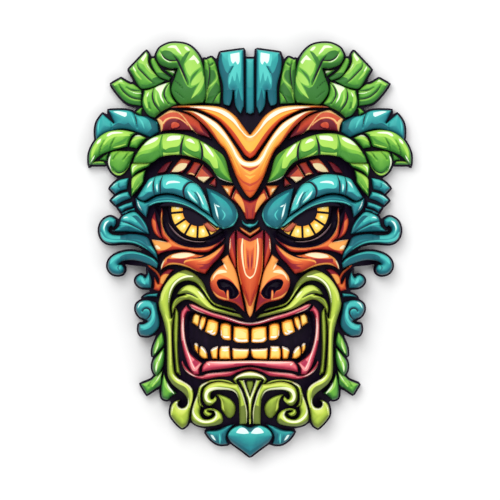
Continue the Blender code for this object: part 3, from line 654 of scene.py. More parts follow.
leaf_paint = brushed_paint(
    "leaf_green_paint", ("#2f6a2c", "#4c9433", "#6cb43f", "#93cb58"),
    painted_highlight="#e6f5cf", lit="#9fd35c", shade="#35742f")
carve_piece("crown_leaves", leaf_paint, [
    dict(lift=9, crown=5,
        outline=[(104, 200), (122, 181), (118.5, 175), (112, 164), (106.5, 161), (95, 163.5),
          (83, 170), (90, 172.5), (98, 181), (101.5, 188), (101, 195)],
        crease=[[(113.7, 189, 0.3), (112, 182.5, 0.6), (106.5, 176.5, 0.7), (100.5, 170.5, 0.6),
          (95.5, 166.5, 0.2)]],
        shade=[[(98, 172), (92, 173.8), (85, 171.5), (84, 169.5), (91, 167.5), (96.5, 163.5),
          (106.5, 161.5), (110, 166.5), (104, 165.5), (98, 167.5)]],
        lit=[[(112, 188), (108, 194), (103, 197), (102.5, 189), (99, 181.5), (93, 175), (99, 177),
          (104, 182), (107, 186)], [(117, 182, 0.6), (113.5, 176, 1.1), (109, 171, 0.5)]],
        painted_highlight=[[(109.5, 191.5), (104.5, 198), (104, 195), (107.2, 189)], [(117.3, 184, 0.4),
          (116, 181.5, 0.7), (114.3, 179, 0.3)], [(103.7, 188.5, 0.2), (102.7, 184.5, 0.5),
          (99.8, 180.5, 0.2)]]),
    dict(lift=5, crown=2,
        outline=[(99, 193), (95.5, 193), (88, 180.5), (78, 173), (81, 169), (92, 173.5), (98, 182),
          (100.5, 189)],
        shade=[[(94, 178), (87, 177.5), (78, 173), (81, 169), (90, 172.5)]]),
    dict(lift=6, crown=4, base=-0.06,
        outline=[(129.5, 172.5), (140, 166.5), (133, 156.5), (123, 147), (108.5, 144), (108, 160),
          (116, 166.5), (121, 167.5)],
        crease=[[(131.7, 166, 0.2), (127.5, 159.5, 0.6), (121, 154, 0.6), (115, 151.7, 0.6),
          (108.5, 151, 0.4)], [(124, 163, 0.2), (118, 160, 0.5), (108.5, 159.4, 0.4)]],
        shade=[[(131.5, 158), (125, 152.5), (117, 149.5), (108.5, 149), (108.5, 144),
          (123, 146.5)]],
        lit=[[(136, 165.5, 0.7), (131, 168.5, 1.2), (126, 166.5, 0.5)]],
        painted_highlight=[[(132.5, 168.5, 0.3), (129.5, 169.8, 0.6), (127.5, 168.7, 0.3)], [(121, 159.5, 0.2),
          (115, 157.4, 0.5), (108.7, 157.2, 0.4)]]),
    dict(lift=13, crown=7,
        outline=[(106.5, 160.5), (108.5, 146), (103, 135.5), (95.5, 132), (87, 139), (72, 146),
          (78, 155), (79.5, 169.5), (90, 166), (101, 161.5)],
        crease=[[(96.7, 162, 0.4), (97.8, 154, 0.8), (95.5, 146, 0.8),
          (89.2, 137.5, 0.4)], [(80.5, 168, 0.4), (85.2, 161, 0.8), (85.7, 154, 0.8),
          (81.2, 146, 0.4)], [(101.5, 147, 0.2), (101.3, 143.5, 0.4), (100.2, 141, 0.2)]],
        shade=[[(105.5, 143), (100.5, 137), (95, 134.5), (88, 139.5), (90, 138), (95.5, 131.5),
          (103, 135)], [(91, 146), (86, 142), (80, 145.5), (72, 146), (87, 138.5)]],
        lit=[[(103, 158.5, 1), (105, 151, 1.6), (103, 143, 1)], [(94, 158, 0.4), (94, 151, 1),
          (91, 144, 0.5)]],
        painted_highlight=[[(101.4, 158, 0.3), (102.8, 155.3, 0.7), (103.3, 153.2, 0.3)], [(95.3, 162),
          (90, 165.8), (83, 167.7), (86.7, 161.5), (88.7, 155), (86.7, 149.5), (85.2, 145.8),
          (89.4, 151.5), (91.4, 157.5)]]),
    dict(lift=3, crown=2, base=-0.1, rim=0.6,
        outline=[(110.5, 142.5), (107.5, 143), (109, 134), (115.5, 138)]),
    dict(lift=4, crown=2, rim=0.7,
        outline=[(87, 181.2), (74, 180.7), (76.7, 173)],
        painted_highlight=[[(80, 179.2, 0.4), (77, 179, 1), (76, 177, 0.3)]]),
    dict(lift=16, crown=10, fade=((60, 204), (62, 146), 0.1),
        outline=[(94.5, 193), (93, 199), (89, 204), (78, 208), (62, 205.7), (51, 195), (45.7, 180),
          (43.5, 157), (46.7, 147), (60, 145.7), (70, 145.5), (78, 155), (79.5, 163), (76, 173),
          (73, 181.7), (81, 181.7), (90, 185.5)],
        crease=[[(76.7, 195, 0.2), (72.5, 189.5, 0.9), (69, 182, 1.1), (65.5, 174, 0.9),
          (62.2, 165, 0.2)], [(89.7, 198.5, 0.2), (86.2, 193.2, 0.7), (81, 190, 0.8),
          (73.2, 189.8, 0.6)], [(77, 171, 0.3), (72, 167, 0.4),
          (67.5, 162.2, 0.2)], [(76, 160, 0.1), (71, 156, 0.3), (66, 152, 0.1)]],
        shade=[[(72, 186), (68.5, 176), (63.5, 165), (59, 162), (53, 165.5), (50.2, 169),
          (55, 161), (59.5, 152), (54, 153.5), (48.5, 159), (45.7, 166), (44.5, 157),
          (47.2, 146.5), (69.5, 146.2), (76.7, 155), (78.5, 163), (75, 173)], [(89, 198.5),
          (85, 200), (79, 198.5), (74.7, 194), (72.5, 190), (80, 190), (86, 193)], [(59.5, 199.5),
          (63.5, 192), (66.4, 186), (65.4, 179), (61.2, 169), (62.2, 165.5), (67, 177),
          (69.7, 185.5), (68.5, 191.5), (64.5, 197)], [(60, 170), (57, 176), (49, 182.7),
          (53.5, 176.5), (58.2, 170), (59.5, 166)]],
        lit=[[(65.7, 186), (62, 190.5), (56.5, 195.2), (51, 187.5), (49, 183.7), (56, 178.7),
          (60, 173.5), (63.2, 178.5)], [(59.2, 164.5), (57.7, 169.5), (53, 175.5), (48.2, 179.5),
          (47.5, 174), (50.5, 168.5), (55.5, 165.2)], [(59.5, 151), (55, 159), (49.5, 169),
          (46.2, 175), (46.2, 168), (50, 160), (55, 154.5)], [(84, 201.5), (74, 205), (65, 204.7),
          (59.5, 201.2), (64, 197.5), (67, 193.5), (70.5, 196), (75.5, 200.2)]],
        painted_highlight=[[(83.5, 202.7), (79, 204.8), (74, 204.8), (71, 200.5), (67.7, 195), (72.5, 198.7),
          (75.7, 202.1)], [(66.2, 203.8), (63, 203.4), (59.7, 199.7), (63.5, 200.1)], [(61.5, 190),
          (56.5, 195.4), (53.5, 192.2), (50.5, 188.2), (52.4, 186), (55.5, 190.7),
          (58.5, 190.2)], [(89.7, 197.5, 0.2), (86.5, 192, 0.5), (81.5, 188.7, 0.5),
          (78.5, 188.2, 0.2)]]),
    dict(lift=6, crown=4, base=-0.05,
        outline=[(47, 188.5), (44, 191.5), (38.5, 194), (33.2, 185.5), (28.8, 161), (29.5, 145.5),
          (46, 146.5)],
        crease=[[(43, 190, 0.3), (41, 184, 0.6), (40.6, 176, 0.7), (42, 165.5, 0.6),
          (43.2, 158, 0.3)], [(40.8, 184, 0.3), (37.2, 186.7, 0.5)], [(30, 159, 0.3),
          (35, 152.5, 0.6), (37.7, 146, 0.4)]],
        shade=[[(45, 182), (42.2, 180), (42, 170), (44, 158), (45.5, 149),
          (45.7, 166)], [(39.7, 181), (36, 180), (34.4, 174), (38, 168),
          (41.2, 165)], [(41.3, 157), (33.5, 168.5), (29.5, 162), (29.7, 159.5), (35, 153.5),
          (38.5, 146), (43.5, 146.5)]],
        lit=[[(36.5, 184, 0.2), (33.5, 177, 0.5), (33.3, 171.5, 0.6), (37.5, 166.5, 0.8),
          (42, 162, 0.7), (42.7, 155, 0.5), (44.2, 149, 0.2)]]),
])


# The crest: two split planks and a plain slat between them, standing up over the middle
# of the forehead. They are part of the block, painted teal, with painted light making them
# pale at the top.
teal_paint = brushed_paint(
    "teal_paint", ("#19626f", "#22808a", "#2fa09f", "#46b9b4"),
    painted_highlight="#dcf7f2", lit="#50c4bd", shade="#19616e")
carve_piece("crest_planks", teal_paint, [
    dict(lift=13, crown=5,
        outline=[(30, 198.4), (6, 201.7), (5.5, 149.3), (6.5, 142), (9, 134.7), (13.7, 140.5),
          (15.8, 147), (16.6, 159), (17.6, 150), (20.2, 143.4), (25.5, 144.7), (27.5, 149),
          (27.8, 165), (31.5, 180), (32.2, 190)],
        crease=[[(14.3, 187.2, 0.1), (18, 182, 0.4), (20.7, 177.5, 0.3)]],
        shade=[[(32, 192), (30.5, 197.5), (28, 196.5), (28, 190), (25, 180.5), (22.5, 177),
          (19, 180.5), (22, 173), (21.5, 163), (17.7, 158.5), (17.7, 151), (20.5, 143.5),
          (27, 145.5), (28, 165)], [(16, 153), (14, 150.5), (12.8, 157), (11.7, 162.5),
          (10.3, 157), (8.7, 151), (6.2, 147), (7.7, 138), (11, 137.5), (15, 144)]],
        lit=[[(22, 196.5), (8.8, 199), (9, 182), (10, 166), (11.2, 171), (13.2, 179.5),
          (14.7, 169.5), (16, 169.5), (17.7, 175.5), (19.7, 168), (21, 165), (21.3, 171),
          (18.5, 179), (16, 185), (20.5, 184), (22, 191)]],
        painted_highlight=[[(19.7, 196.4), (10.7, 198), (10.5, 189), (12.5, 185.5), (14.5, 189.5), (17, 186.5),
          (19, 190)]]),
    dict(lift=7, crown=3, centre=True, base=-0.02, fade=((0, 192), (0, 138), 0.22),
        outline=[(0, 192.5), (4.8, 192.5), (4.8, 141), (3, 136.7), (0, 135.4)]),
])


# The forehead band: two broad folds that sweep in from the temples and meet in a V over
# the nose, the lower one ending in a beak. They are the boldest carving of the brow and
# are painted from cream through yellow to orange, the cream and yellow as painted
# highlights along each fold, with painted shade in red below them.
band_paint = brushed_paint(
    "sunset_paint", ("#d25a26", "#e6842c", "#ef9d40", "#f6bf70"),
    painted_highlight="#fbf0da", lit="#f4b044", shade="#bd452a")
carve_piece("forehead_band", band_paint, [
    dict(lift=20, crown=7, rim=0.7, centre=True, base=-0.02,
        outline=[(0, 115.5), (5, 122), (15, 135), (28, 143), (45, 145.2), (71.2, 145), (82, 142.5),
          (55, 141), (36, 132), (25, 122), (10, 101), (5, 94), (0, 90.7)],
        shade=[[(67, 140.7, 0.2), (55, 139.5, 0.5), (43, 135.7, 1.3), (32, 129.3, 2),
          (22, 120.8, 2.2), (14, 111, 2.4), (7, 100, 2.8), (2.5, 94, 2.9), (0, 93.5, 2.9)]],
        lit=[[(54, 140.7), (42, 139.6), (32, 136.5), (22, 131), (16, 125), (10, 117), (4, 109.5),
          (0, 108), (0, 98.5), (3, 99), (7, 104.5), (14, 115), (21, 124), (30, 132), (41, 137.5)]],
        painted_highlight=[[(63, 142.8, 0.2), (53, 142.9, 0.8), (42, 141.8, 1.2), (31, 139.2, 1.7),
          (23, 135, 2), (16, 129, 1.4), (10, 121, 0.7), (4, 114.2, 0.6), (0, 112.7, 0.8)]]),
    dict(lift=25, crown=8, rim=0.7, centre=True, base=0.02, fade=((22, 105), (2, 54), 0.32),
        outline=[(0, 89), (6, 91), (12, 100), (26, 120.5), (37, 130.5), (55, 139), (70, 140),
          (58, 135), (43, 121), (31.5, 106), (24, 97), (14, 72), (5, 56), (0, 51.4)],
        shade=[[(64, 139, 0.2), (56, 136.2, 0.8), (47, 128.5, 1.5), (39, 118.5, 1.6),
          (32.5, 109, 1.2), (29, 104, 0.3)], [(10, 85.5, 0.3), (6, 82.3, 1),
          (0, 80.2, 1.7)], [(12, 74, 0.3), (7, 68, 0.9), (0, 64.5, 1.3)], [(7, 60, 0.3),
          (0, 58.5, 1)], [(31, 109, 0.2), (23, 96.5, 0.5), (16, 82, 0.5),
          (11, 70, 0.2)], [(24, 103, 0.2), (17, 90, 0.5), (10, 77.5, 0.2)]],
        lit=[[(7, 81, 0.3), (3.5, 78, 0.7), (0, 76, 0.9)], [(5, 74.5, 0.4),
          (0, 72, 1.3)], [(45, 131.5, 0.2), (37, 123, 0.7), (28, 112, 0.9), (20, 98, 0.9),
          (13, 83, 0.6), (9, 73, 0.2)]],
        painted_highlight=[[(57, 138.2, 0.2), (51, 135.5, 1), (43, 130.6, 1.7), (35, 124.4, 2.1),
          (28, 117.2, 1.7), (22, 109.5, 1.1), (17, 101, 0.9), (13, 93, 1.1), (8, 87.2, 1.6),
          (3, 85.4, 1.7), (0, 85.2, 1.7)]]),
])


# The temple panels under the outer ends of the band: shallow red fields with an arched
# sinking, carved lower than the band and painted in reds.
red_paint = brushed_paint(
    "brick_red_paint", ("#701c2b", "#b43a2c", "#c94c34", "#d96a48"),
    painted_highlight="#f6dfab", lit="#f2bd7a", shade="#701c2b")
carve_piece("temple_blocks", red_paint, [
    dict(lift=11, crown=5, rim=0.7, base=-0.05,
        outline=[(94.2, 131.5), (88, 136), (82, 140), (78, 140.8), (72, 139.4), (64, 137.4),
          (57, 134), (51, 129.5), (45, 123), (41, 117), (38, 110.2), (45, 113), (53, 115.7),
          (56, 118), (60, 119.2), (80, 119.4), (87, 118.5), (89.7, 118.5), (91, 125)],
        shade=[[(87.7, 118.5), (86.5, 124), (84, 128.5), (80, 131), (75, 131.4), (69, 129.7),
          (64, 125.5), (59.5, 119), (74, 119)], [(51.5, 129), (44, 122), (38, 110.5), (43.5, 112),
          (46.2, 117), (49.7, 123.5)]],
        lit=[[(93.5, 131.2, 1.1), (89.7, 128, 2), (89, 123, 1.3),
          (89.1, 119, 0.8)], [(93, 131.7, 0.8), (86, 137.1, 1.6), (79, 139.3, 1.4), (72, 138, 0.7),
          (66, 132.5, 0.6), (60, 124, 0.6), (55, 117, 1), (50, 114, 1)], [(87, 127, 0.8),
          (84, 130.8, 0.8), (78, 132.8, 0.6), (71, 131.8, 0.6), (65, 127.7, 0.5),
          (61.5, 124, 0.2)]]),
    dict(lift=17, crown=1, rim=0.05, base=0.02,
        outline=[(80.6, 120.6), (80.4, 126), (78, 129), (74, 129.2), (70, 127), (69, 124),
          (71.5, 121.5), (76, 120.4)]),
    dict(lift=6, crown=2, rim=0.7, base=-0.55,
        outline=[(94, 76.3), (90, 82), (84, 87.5), (77, 89.7), (81, 83), (85, 77.3)]),
    dict(lift=9, crown=3, rim=0.6, base=0.12,
        outline=[(81, 77), (76, 84), (70, 91), (66, 91.8), (57.7, 89.7), (62.5, 83), (67.5, 76.7)],
        painted_highlight=[[(78.7, 77.7), (76, 82), (72, 85.6), (68, 86.9), (62.5, 86.5), (65.2, 81.5),
          (72, 78.2)]]),
    dict(lift=7, crown=2, rim=0.6, base=-0.2,
        outline=[(64.7, 76), (60, 82), (56.5, 88.5), (52, 88), (47.7, 86), (51.5, 80), (55.5, 73)],
        lit=[[(62.5, 75.7, 0.3), (59, 76.5, 0.8), (55.5, 75, 0.5)]]),
    dict(lift=9, crown=3, rim=0.6, base=0.08,
        outline=[(47.2, 86), (41, 80.5), (35.2, 73.5), (41, 70.5), (46, 66.7), (51.5, 69.5),
          (55.4, 72.5), (51.5, 79)],
        shade=[[(46, 85), (35.2, 74), (39.5, 73), (45.5, 78.5), (48.2, 81.5)]],
        painted_highlight=[[(52.7, 73.2), (40, 73.2), (46, 67.1), (50, 69.3)], [(47.5, 85, 0.3),
          (51.5, 78.7, 0.6), (54.4, 73.5, 0.4)]]),
    dict(lift=6, crown=2, rim=0.6, base=-0.25,
        outline=[(41.2, 65.3), (38, 69.5), (34.5, 73), (33.3, 69), (33.5, 64), (35, 62.6)],
        lit=[[(40.7, 65.8, 0.4), (38.5, 64.4, 0.6), (36, 63.4, 0.3)]]),
])


# The brows: a heavy green leaf arched over each eye, cut across into four segments, with
# its drooping outer end carved as a smaller leaf below. They stand well out of the face.
brow_paint = brushed_paint(
    "brow_green_paint", ("#357a2c", "#5aa036", "#7dbe42", "#a3d657"),
    painted_highlight="#f0f8de", lit="#a9d95a", shade="#478c34")
carve_piece("brows", brow_paint, [
    dict(lift=26, crown=12, rim=0.8, base=-0.06,
        outline=[(117.5, 87), (115, 95), (104, 109), (90, 116), (73, 117), (55, 112.5),
          (37, 102.5), (25, 93), (20, 76), (16, 66), (31, 71), (40, 83), (50, 90), (70, 94.5),
          (88, 93), (99, 87)],
        crease=[[(65.2, 115.5, 0.3), (68, 107, 1), (69, 100, 1.1),
          (68.7, 94, 0.6)], [(50.7, 109.5, 0.4), (48.3, 102.5, 1), (47.6, 95, 1.1),
          (48.7, 89, 0.6)]],
        shade=[[(87.5, 115, 0.6), (89.5, 108, 1.1), (89.7, 100, 1.1), (88, 92.5, 0.8)], [(84, 100),
          (80, 101.6), (74, 102.1), (70, 104.5), (70, 99.5), (78, 98.2),
          (83.7, 98.2)], [(65.7, 103.5), (62, 100), (56, 97.2), (50.5, 97.6), (50.7, 92.2),
          (58, 94.7), (64.5, 98.7)], [(37, 100.5), (30, 96), (24.5, 89), (21.5, 79), (19, 70.5),
          (23.5, 78), (28, 87.5), (33, 95.2)], [(47, 93, 0.3), (42, 88, 0.9), (37.5, 82, 0.9),
          (33, 75, 0.3)], [(116, 90), (109, 95.5), (100, 97), (92, 100), (90, 94), (99, 87.5),
          (109, 87), (117, 87)]],
        lit=[[(112.5, 97), (107, 105), (100, 111), (91.5, 114), (89.5, 111.5), (91.5, 105.5),
          (98, 101.5), (106, 99.5)], [(86.3, 112.5), (69, 114), (69, 108), (72, 103.7),
          (80, 102.2), (84.5, 100.2), (87, 101.7), (87.3, 108)], [(87, 97.7), (84, 97), (76, 97.3),
          (70.7, 98.3), (70.8, 95.2), (79, 94.7), (86.5, 93.4)], [(65, 111), (60, 112),
          (53, 109.5), (51, 104), (51.3, 99), (55, 98.2), (61, 100.8),
          (64.5, 104.7)], [(66.8, 99, 0.4), (63, 96, 0.8), (57, 93, 0.8),
          (52, 91, 0.5)], [(47, 105), (42, 103), (37, 98), (33, 90), (31.5, 81.5), (36, 82),
          (40.5, 89), (45.5, 92.7), (46.8, 98)]],
        painted_highlight=[[(107, 104), (101.5, 109.5), (95, 112.6), (91.2, 112), (95, 108.7),
          (101, 106)], [(83.5, 109), (82, 112.5), (78, 114.2), (69, 114.2), (70, 110.5),
          (75, 109.8), (80, 109)], [(64.3, 109.7), (60.5, 111.4), (57.5, 109.7), (54.5, 105.7),
          (60, 107.8)], [(46.4, 106.2), (43.7, 105), (40, 100.5), (36.7, 95), (36, 92), (40.7, 97),
          (45, 103)], [(34, 75, 0.2), (30, 71, 0.8), (24, 68.3, 0.9), (18, 67.1, 0.3)]]),
    dict(lift=17, crown=5, rim=0.7, base=0.3,
        outline=[(119.8, 84), (117.5, 87.1), (110, 88.2), (98, 87.9), (101.7, 83.2), (108.4, 80.5),
          (114.4, 77), (118.4, 72), (120, 79)],
        lit=[[(118, 80), (116, 85.2), (109, 86.5), (100.5, 86.5), (107, 84), (113, 82),
          (117, 77.5)]],
        painted_highlight=[[(117.7, 78, 0.3), (117, 82.5, 0.6), (113.5, 85, 0.4)]]),
    dict(lift=14, crown=5, rim=0.7, base=-0.04,
        outline=[(118.7, 71.7), (113, 76.7), (104, 81), (105.7, 73), (106.7, 67), (112, 60),
          (119.2, 52.7), (119.4, 62)],
        lit=[[(118.7, 71.2), (113, 76), (106.5, 79.2), (111.7, 74), (115.5, 68), (117.7, 62),
          (119.2, 62)], [(109, 69, 0.2), (113.5, 63, 0.5), (118, 57.5, 0.3)]]),
])


# The ear ornaments: a lime leaf folded over a drop, over a notched teal leaf, standing
# out from each side of the brow. All are carved from the edge of the block.
carve_piece("ear_leaves", brow_paint, [
    dict(lift=13, crown=6, rim=0.8,
        outline=[(161.6, 83.8), (161.5, 97), (155, 110), (144, 118.5), (129, 120.8),
          (113.6, 117.7), (119, 113), (122.5, 103.5), (140, 99), (151.3, 93.8), (158, 87)],
        crease=[[(134.3, 113.5, 0.1), (138.3, 107, 0.4),
          (140.3, 100.2, 0.2)], [(146.3, 109.5, 0.1), (149.5, 103, 0.4), (151, 95, 0.3)]],
        shade=[[(137.5, 105.5), (131, 108.7), (123, 113), (125.5, 108.5),
          (132, 106.2)], [(148.7, 97.5), (146.2, 103), (141.7, 106), (143, 102)]],
        lit=[[(158.5, 93, 0.5), (157, 100, 1.5), (153, 106.5, 1.4),
          (149.5, 108.5, 0.6)], [(146.5, 106, 0.7), (141.5, 112, 1.4), (135, 114.8, 1.5),
          (127, 115.4, 1.4), (121, 115, 0.8)], [(137, 102.7, 0.4), (131, 104, 0.8),
          (124.5, 106, 0.5)]],
        painted_highlight=[[(154, 105.5), (152.7, 109.3), (148.7, 112.3), (150.5, 108.3)], [(143.8, 114),
          (142, 116.7), (137, 118.4), (130, 118.2), (125, 117), (132, 116.8), (138, 116),
          (141.8, 114)], [(159.5, 88, 0.3), (157.2, 92, 0.6), (155.7, 94.7, 0.3)]]),
    dict(lift=4, crown=2, rim=0.4, base=-0.35,
        outline=[(151.5, 90.7), (147, 95), (142, 97.7), (143.7, 89.2)]),
    dict(lift=5, crown=2, rim=0.5, base=0.0,
        outline=[(161, 85.4), (158.5, 88.4), (152, 89.5), (146.5, 89), (144.5, 85.5)]),
    dict(lift=10, crown=5, rim=0.8, base=-0.04,
        outline=[(121.7, 103), (120.5, 108.5), (117.7, 113), (114.5, 115.4), (110, 115.6),
          (103, 112.2), (106.5, 108.7), (110, 105), (113, 101.2)],
        lit=[[(119.5, 108), (117, 112), (112, 114.4), (106, 113), (112, 111.5), (116, 109.5)]],
        painted_highlight=[[(119, 111.2, 0.3), (116, 114.2, 0.8), (111, 114.7, 0.6), (107.5, 113.5, 0.2)]]),
    dict(lift=9, crown=6, rim=0.8, base=-0.14,
        outline=[(141, 97), (137, 99.5), (130, 100), (115, 99.2), (116.5, 94), (118.5, 89.5),
          (120.5, 84), (124, 79), (128, 75), (132.5, 74.2), (137, 76.5), (141, 81.5), (143, 89)],
        crease=[[(138, 82.7, 0.1), (135, 79, 0.5), (131, 77.4, 0.6), (126.5, 79, 0.6),
          (123, 83.5, 0.4), (121.2, 88, 0.1)], [(131.7, 98.5, 0.3), (134.5, 95, 0.4),
          (137.7, 90.5, 0.1)], [(121.5, 98, 0.3), (124, 94.5, 0.4), (127.3, 90, 0.1)]],
        lit=[[(140, 81.5, 0.3), (137, 77.5, 0.8), (132.5, 75.5, 0.9), (128, 76.7, 0.8),
          (123, 81.2, 0.5), (120.4, 86.5, 0.2)]],
        painted_highlight=[[(139.2, 95.7, 0.3), (141.3, 90.5, 0.9), (141.2, 85.5, 0.7), (139, 80.5, 0.2)]]),
])

carve_piece("ear_feathers", teal_paint, [
    dict(lift=6, crown=5, rim=0.8, base=-0.02,
        outline=[(148, 137), (154, 128), (155.5, 118), (154.5, 109), (146, 116), (129, 121),
          (114, 118), (100, 112.5), (91, 118), (92, 128), (102, 134), (112, 135.5), (123, 140.5),
          (142.7, 140.5), (136.6, 127.5)],
        crease=[[(117.2, 138.5, 0.3), (114.5, 131.5, 0.7),
          (113.2, 122.5, 0.2)], [(139.2, 127, 0.2), (138.7, 123, 0.3), (139.2, 120.5, 0.1)]],
        shade=[[(154, 114), (148, 118.2), (141.5, 121), (146, 115.5), (154.3, 109)], [(138, 124.5),
          (132, 127.5), (126, 126), (122, 128), (116.5, 122), (113, 120), (122, 120),
          (138, 120.5)], [(111.5, 135.5), (106, 137.5), (99, 133), (93, 126), (91.2, 118),
          (100, 112.5), (104.5, 116), (98.5, 122), (102, 130.5)]],
        lit=[[(150.7, 131, 0.3), (152.2, 124, 0.8), (152.4, 118, 0.3)], [(112.7, 133.5, 0.3),
          (108.5, 128.5, 0.9), (106, 121.5, 0.3)], [(120, 137, 0.3), (117.2, 131.5, 0.7),
          (115.7, 125.5, 0.3)]],
        painted_highlight=[[(138, 139), (132, 139.3), (123.7, 137.8), (123.7, 134.7), (125.5, 133.5),
          (131, 135.8)]]),
    dict(lift=8, crown=5, rim=0.7,
        outline=[(141.2, 61.8), (136, 67.5), (130, 71), (121, 72.8), (122.2, 66), (123.2, 60.7),
          (130, 59), (135, 55.8)],
        crease=[[(131, 68.5, 0.1), (132, 65, 0.4), (131, 62, 0.2)]],
        shade=[[(131.5, 60.5), (127.5, 64.5), (123, 64.5), (123.5, 61), (131, 58.7), (135.2, 56),
          (134.5, 58.5)]],
        lit=[[(138, 64, 0.6), (133, 67.7, 1), (124, 70.7, 0.7)]],
        painted_highlight=[[(138.5, 63.2, 0.2), (135.5, 66, 0.4), (133, 67.5, 0.2)]]),
    dict(lift=7, crown=5, rim=0.7,
        outline=[(139.8, 49.9), (134, 55), (128, 57.7), (122, 59), (120.3, 55.5), (118.7, 51.8),
          (127, 48.8), (134.5, 44.4)],
        shade=[[(133.5, 50), (129, 53), (124, 54), (119.5, 52.5), (127, 49), (133, 46)]],
        lit=[[(137.7, 50, 0.6), (132, 54, 1), (124, 57, 0.5)]],
        painted_highlight=[[(137.3, 50.7, 0.2), (134, 53.4, 0.5), (130, 55.2, 0.2)]]),
    dict(lift=6, crown=4, rim=0.6,
        outline=[(133, 42.8), (126, 46.2), (118, 48.7), (117, 46), (116.8, 43), (124, 41.2),
          (129, 37.6)],
        lit=[[(130.7, 42.4, 0.6), (127.5, 43.8, 0.6), (124, 45.5, 0.2)]],
        crease=[[(126, 39.7, 0.1), (122, 42, 0.3), (117.5, 43.7, 0.2)]]),
    dict(lift=4, crown=2, rim=0.4, base=-0.15,
        outline=[(129.5, 36.7), (123, 40), (115.7, 42.5), (115, 39.3), (122, 37.7), (127.2, 35)]),
])


# The upper eyelids: a light teal roll cut into segments, over a darker rim that swells
# into a bulb beside the nose. Both are carved over the sunk eye.
carve_piece("eyelids", teal_paint, [
    dict(lift=23, crown=9, rim=0.7, base=0.06,
        outline=[(113.5, 52.5), (105, 66), (100, 72), (87.5, 75.5), (73, 75.8), (58, 69.8),
          (47, 60), (39.5, 39), (38, 33), (46, 39), (60, 49), (78, 56), (93, 55), (106, 49)],
        crease=[[(94.7, 73.5, 0.3), (96.7, 65, 0.8), (95.5, 55.5, 0.4)], [(87, 75, 0.3),
          (89.7, 66, 0.9), (89.3, 56, 0.4)], [(53, 66.5, 0.3), (60, 67.5, 0.9), (65, 63, 1),
          (66.5, 57.5, 1), (65, 52, 0.7)], [(59, 59.5, 0.1), (54, 56, 0.5), (51, 50.5, 0.5),
          (50, 44, 0.3)]],
        shade=[[(109, 51.5, 0.4), (102, 55.7, 1.3), (97, 56.5, 0.7)], [(88, 56.2), (85, 59.5),
          (77, 59.2), (69, 56.7), (66.7, 52.5), (78, 56.4)], [(72, 74.2, 0.2), (65, 71.5, 0.9),
          (57, 67.7, 0.5)], [(85.5, 62, 0.2), (83, 59.5, 0.6), (80.5, 57, 0.2)]],
        lit=[[(105, 58), (102, 65.5), (98, 70.5), (96.5, 70.5), (98.4, 64),
          (98, 58.5)], [(92.7, 70, 0.6), (93.2, 64, 1.2), (92.5, 58.5, 0.7)], [(86.5, 69.5),
          (81, 72.4), (70, 72.7), (62, 69.5), (66, 65), (68.2, 59.5), (76, 61.5), (84.5, 61.5),
          (87, 64.5)], [(63, 59), (60.5, 64), (56, 65), (50, 60.5), (44.5, 51), (40.5, 38.5),
          (47, 42), (49, 48), (51, 54), (55, 58.5), (55.5, 53.5), (51.5, 45.5), (59, 51)]],
        painted_highlight=[[(102.7, 62, 0.3), (100.5, 66, 0.9), (98, 68.5, 0.4)], [(92.7, 66, 0.3),
          (93, 62.5, 0.7), (92.5, 59.5, 0.3)], [(83.5, 65, 0.4), (81.5, 67.3, 1.1), (76, 68, 1.1),
          (70, 67.4, 0.5)], [(62, 59, 0.3), (59.5, 55, 0.9), (56, 51, 0.6),
          (52, 47.2, 0.2)], [(54, 59.5, 0.2), (50, 53, 0.7), (46.5, 45.5, 0.4)], [(46.2, 55, 0.2),
          (43.5, 49, 0.6), (40.7, 41.5, 0.4)]]),
    dict(lift=21, crown=10, rim=0.7, base=-0.16,
        outline=[(44.5, 63), (31, 57.5), (17, 47.5), (11.4, 35), (16, 23.5), (27, 20.5),
          (36.5, 31), (41, 48)],
        lit=[[(13.7, 41, 0.2), (12.7, 35, 0.6), (14.5, 28.5, 0.6), (20.5, 23, 0.7),
          (26.5, 21.7, 0.6), (32, 25.5, 0.3)], [(28, 40, 0.4), (25, 35, 0.7), (27.5, 30, 0.4)]],
        painted_highlight=[[(35.7, 46.5, 0.3), (34, 41, 0.8), (32.7, 35.5, 0.8),
          (31.4, 31, 0.2)], [(34.5, 45.2, 0.3), (32, 43.7, 0.7), (30, 43, 0.2)]],
        shade=[[(44.5, 63), (38, 60), (29, 55.5), (17, 46.5), (12, 37), (13.5, 28), (20, 23.2),
          (17.5, 31), (18.2, 39.5), (24, 48), (33, 54.5), (39.2, 57.5), (39, 47), (36.2, 35.5),
          (39, 41)]]),
    dict(lift=15, crown=5, rim=0.6, base=-0.12,
        outline=[(115.2, 53), (105, 48.5), (93, 54.5), (78, 55.5), (60, 48.4), (46, 38.8),
          (37, 32.4), (30, 25), (23, 19.8), (32, 22.2), (40, 27.7), (46, 33), (62, 42.8), (78, 47),
          (92, 46.5), (101, 43), (103.5, 32), (113, 42)],
        lit=[[(102, 43.5, 0.2), (98.5, 46, 0.6), (92, 48.1, 0.7), (78, 48.7, 0.8), (63, 44.5, 0.8),
          (50, 37.1, 0.8), (40, 29.7, 0.8), (33, 24.2, 0.6)]],
        shade=[[(106, 46.5, 0.5), (100, 49, 1.4), (93, 52.7, 1.7), (82, 54, 1.7), (68, 50.5, 1.5),
          (56, 43.7, 1), (47, 37.2, 0.4)]],
        painted_highlight=[[(112.7, 50, 0.2), (111.4, 45, 0.6), (107.7, 39, 0.2)]]),
])


# The eyes: a dark rounded ball sunk under each lid, with a ring of separate yellow tiles
# carved round the pupil, as if inlaid. One tile is made, then repeated round the ring.
RING_CENTRE = (51.5, 39.5)
RING_INNER = 14.7 * SQUARE
RING_OUTER = 28.3 * SQUARE
RING_MIDDLE = (RING_INNER + RING_OUTER) / 2.0
ARC_POINTS = 16
TILE_STEP = math.radians(27.4)
FIRST_TILE = math.radians(171.8)
TILE_GAP = 0.0011
TILE_RISE = 0.0016
TILE_ROUND = 0.0014
TILE_FOOT = -0.002
TILE_FACET = 0.0006
TILE_CLEAR = 0.0004
TILE_COUNT = 6
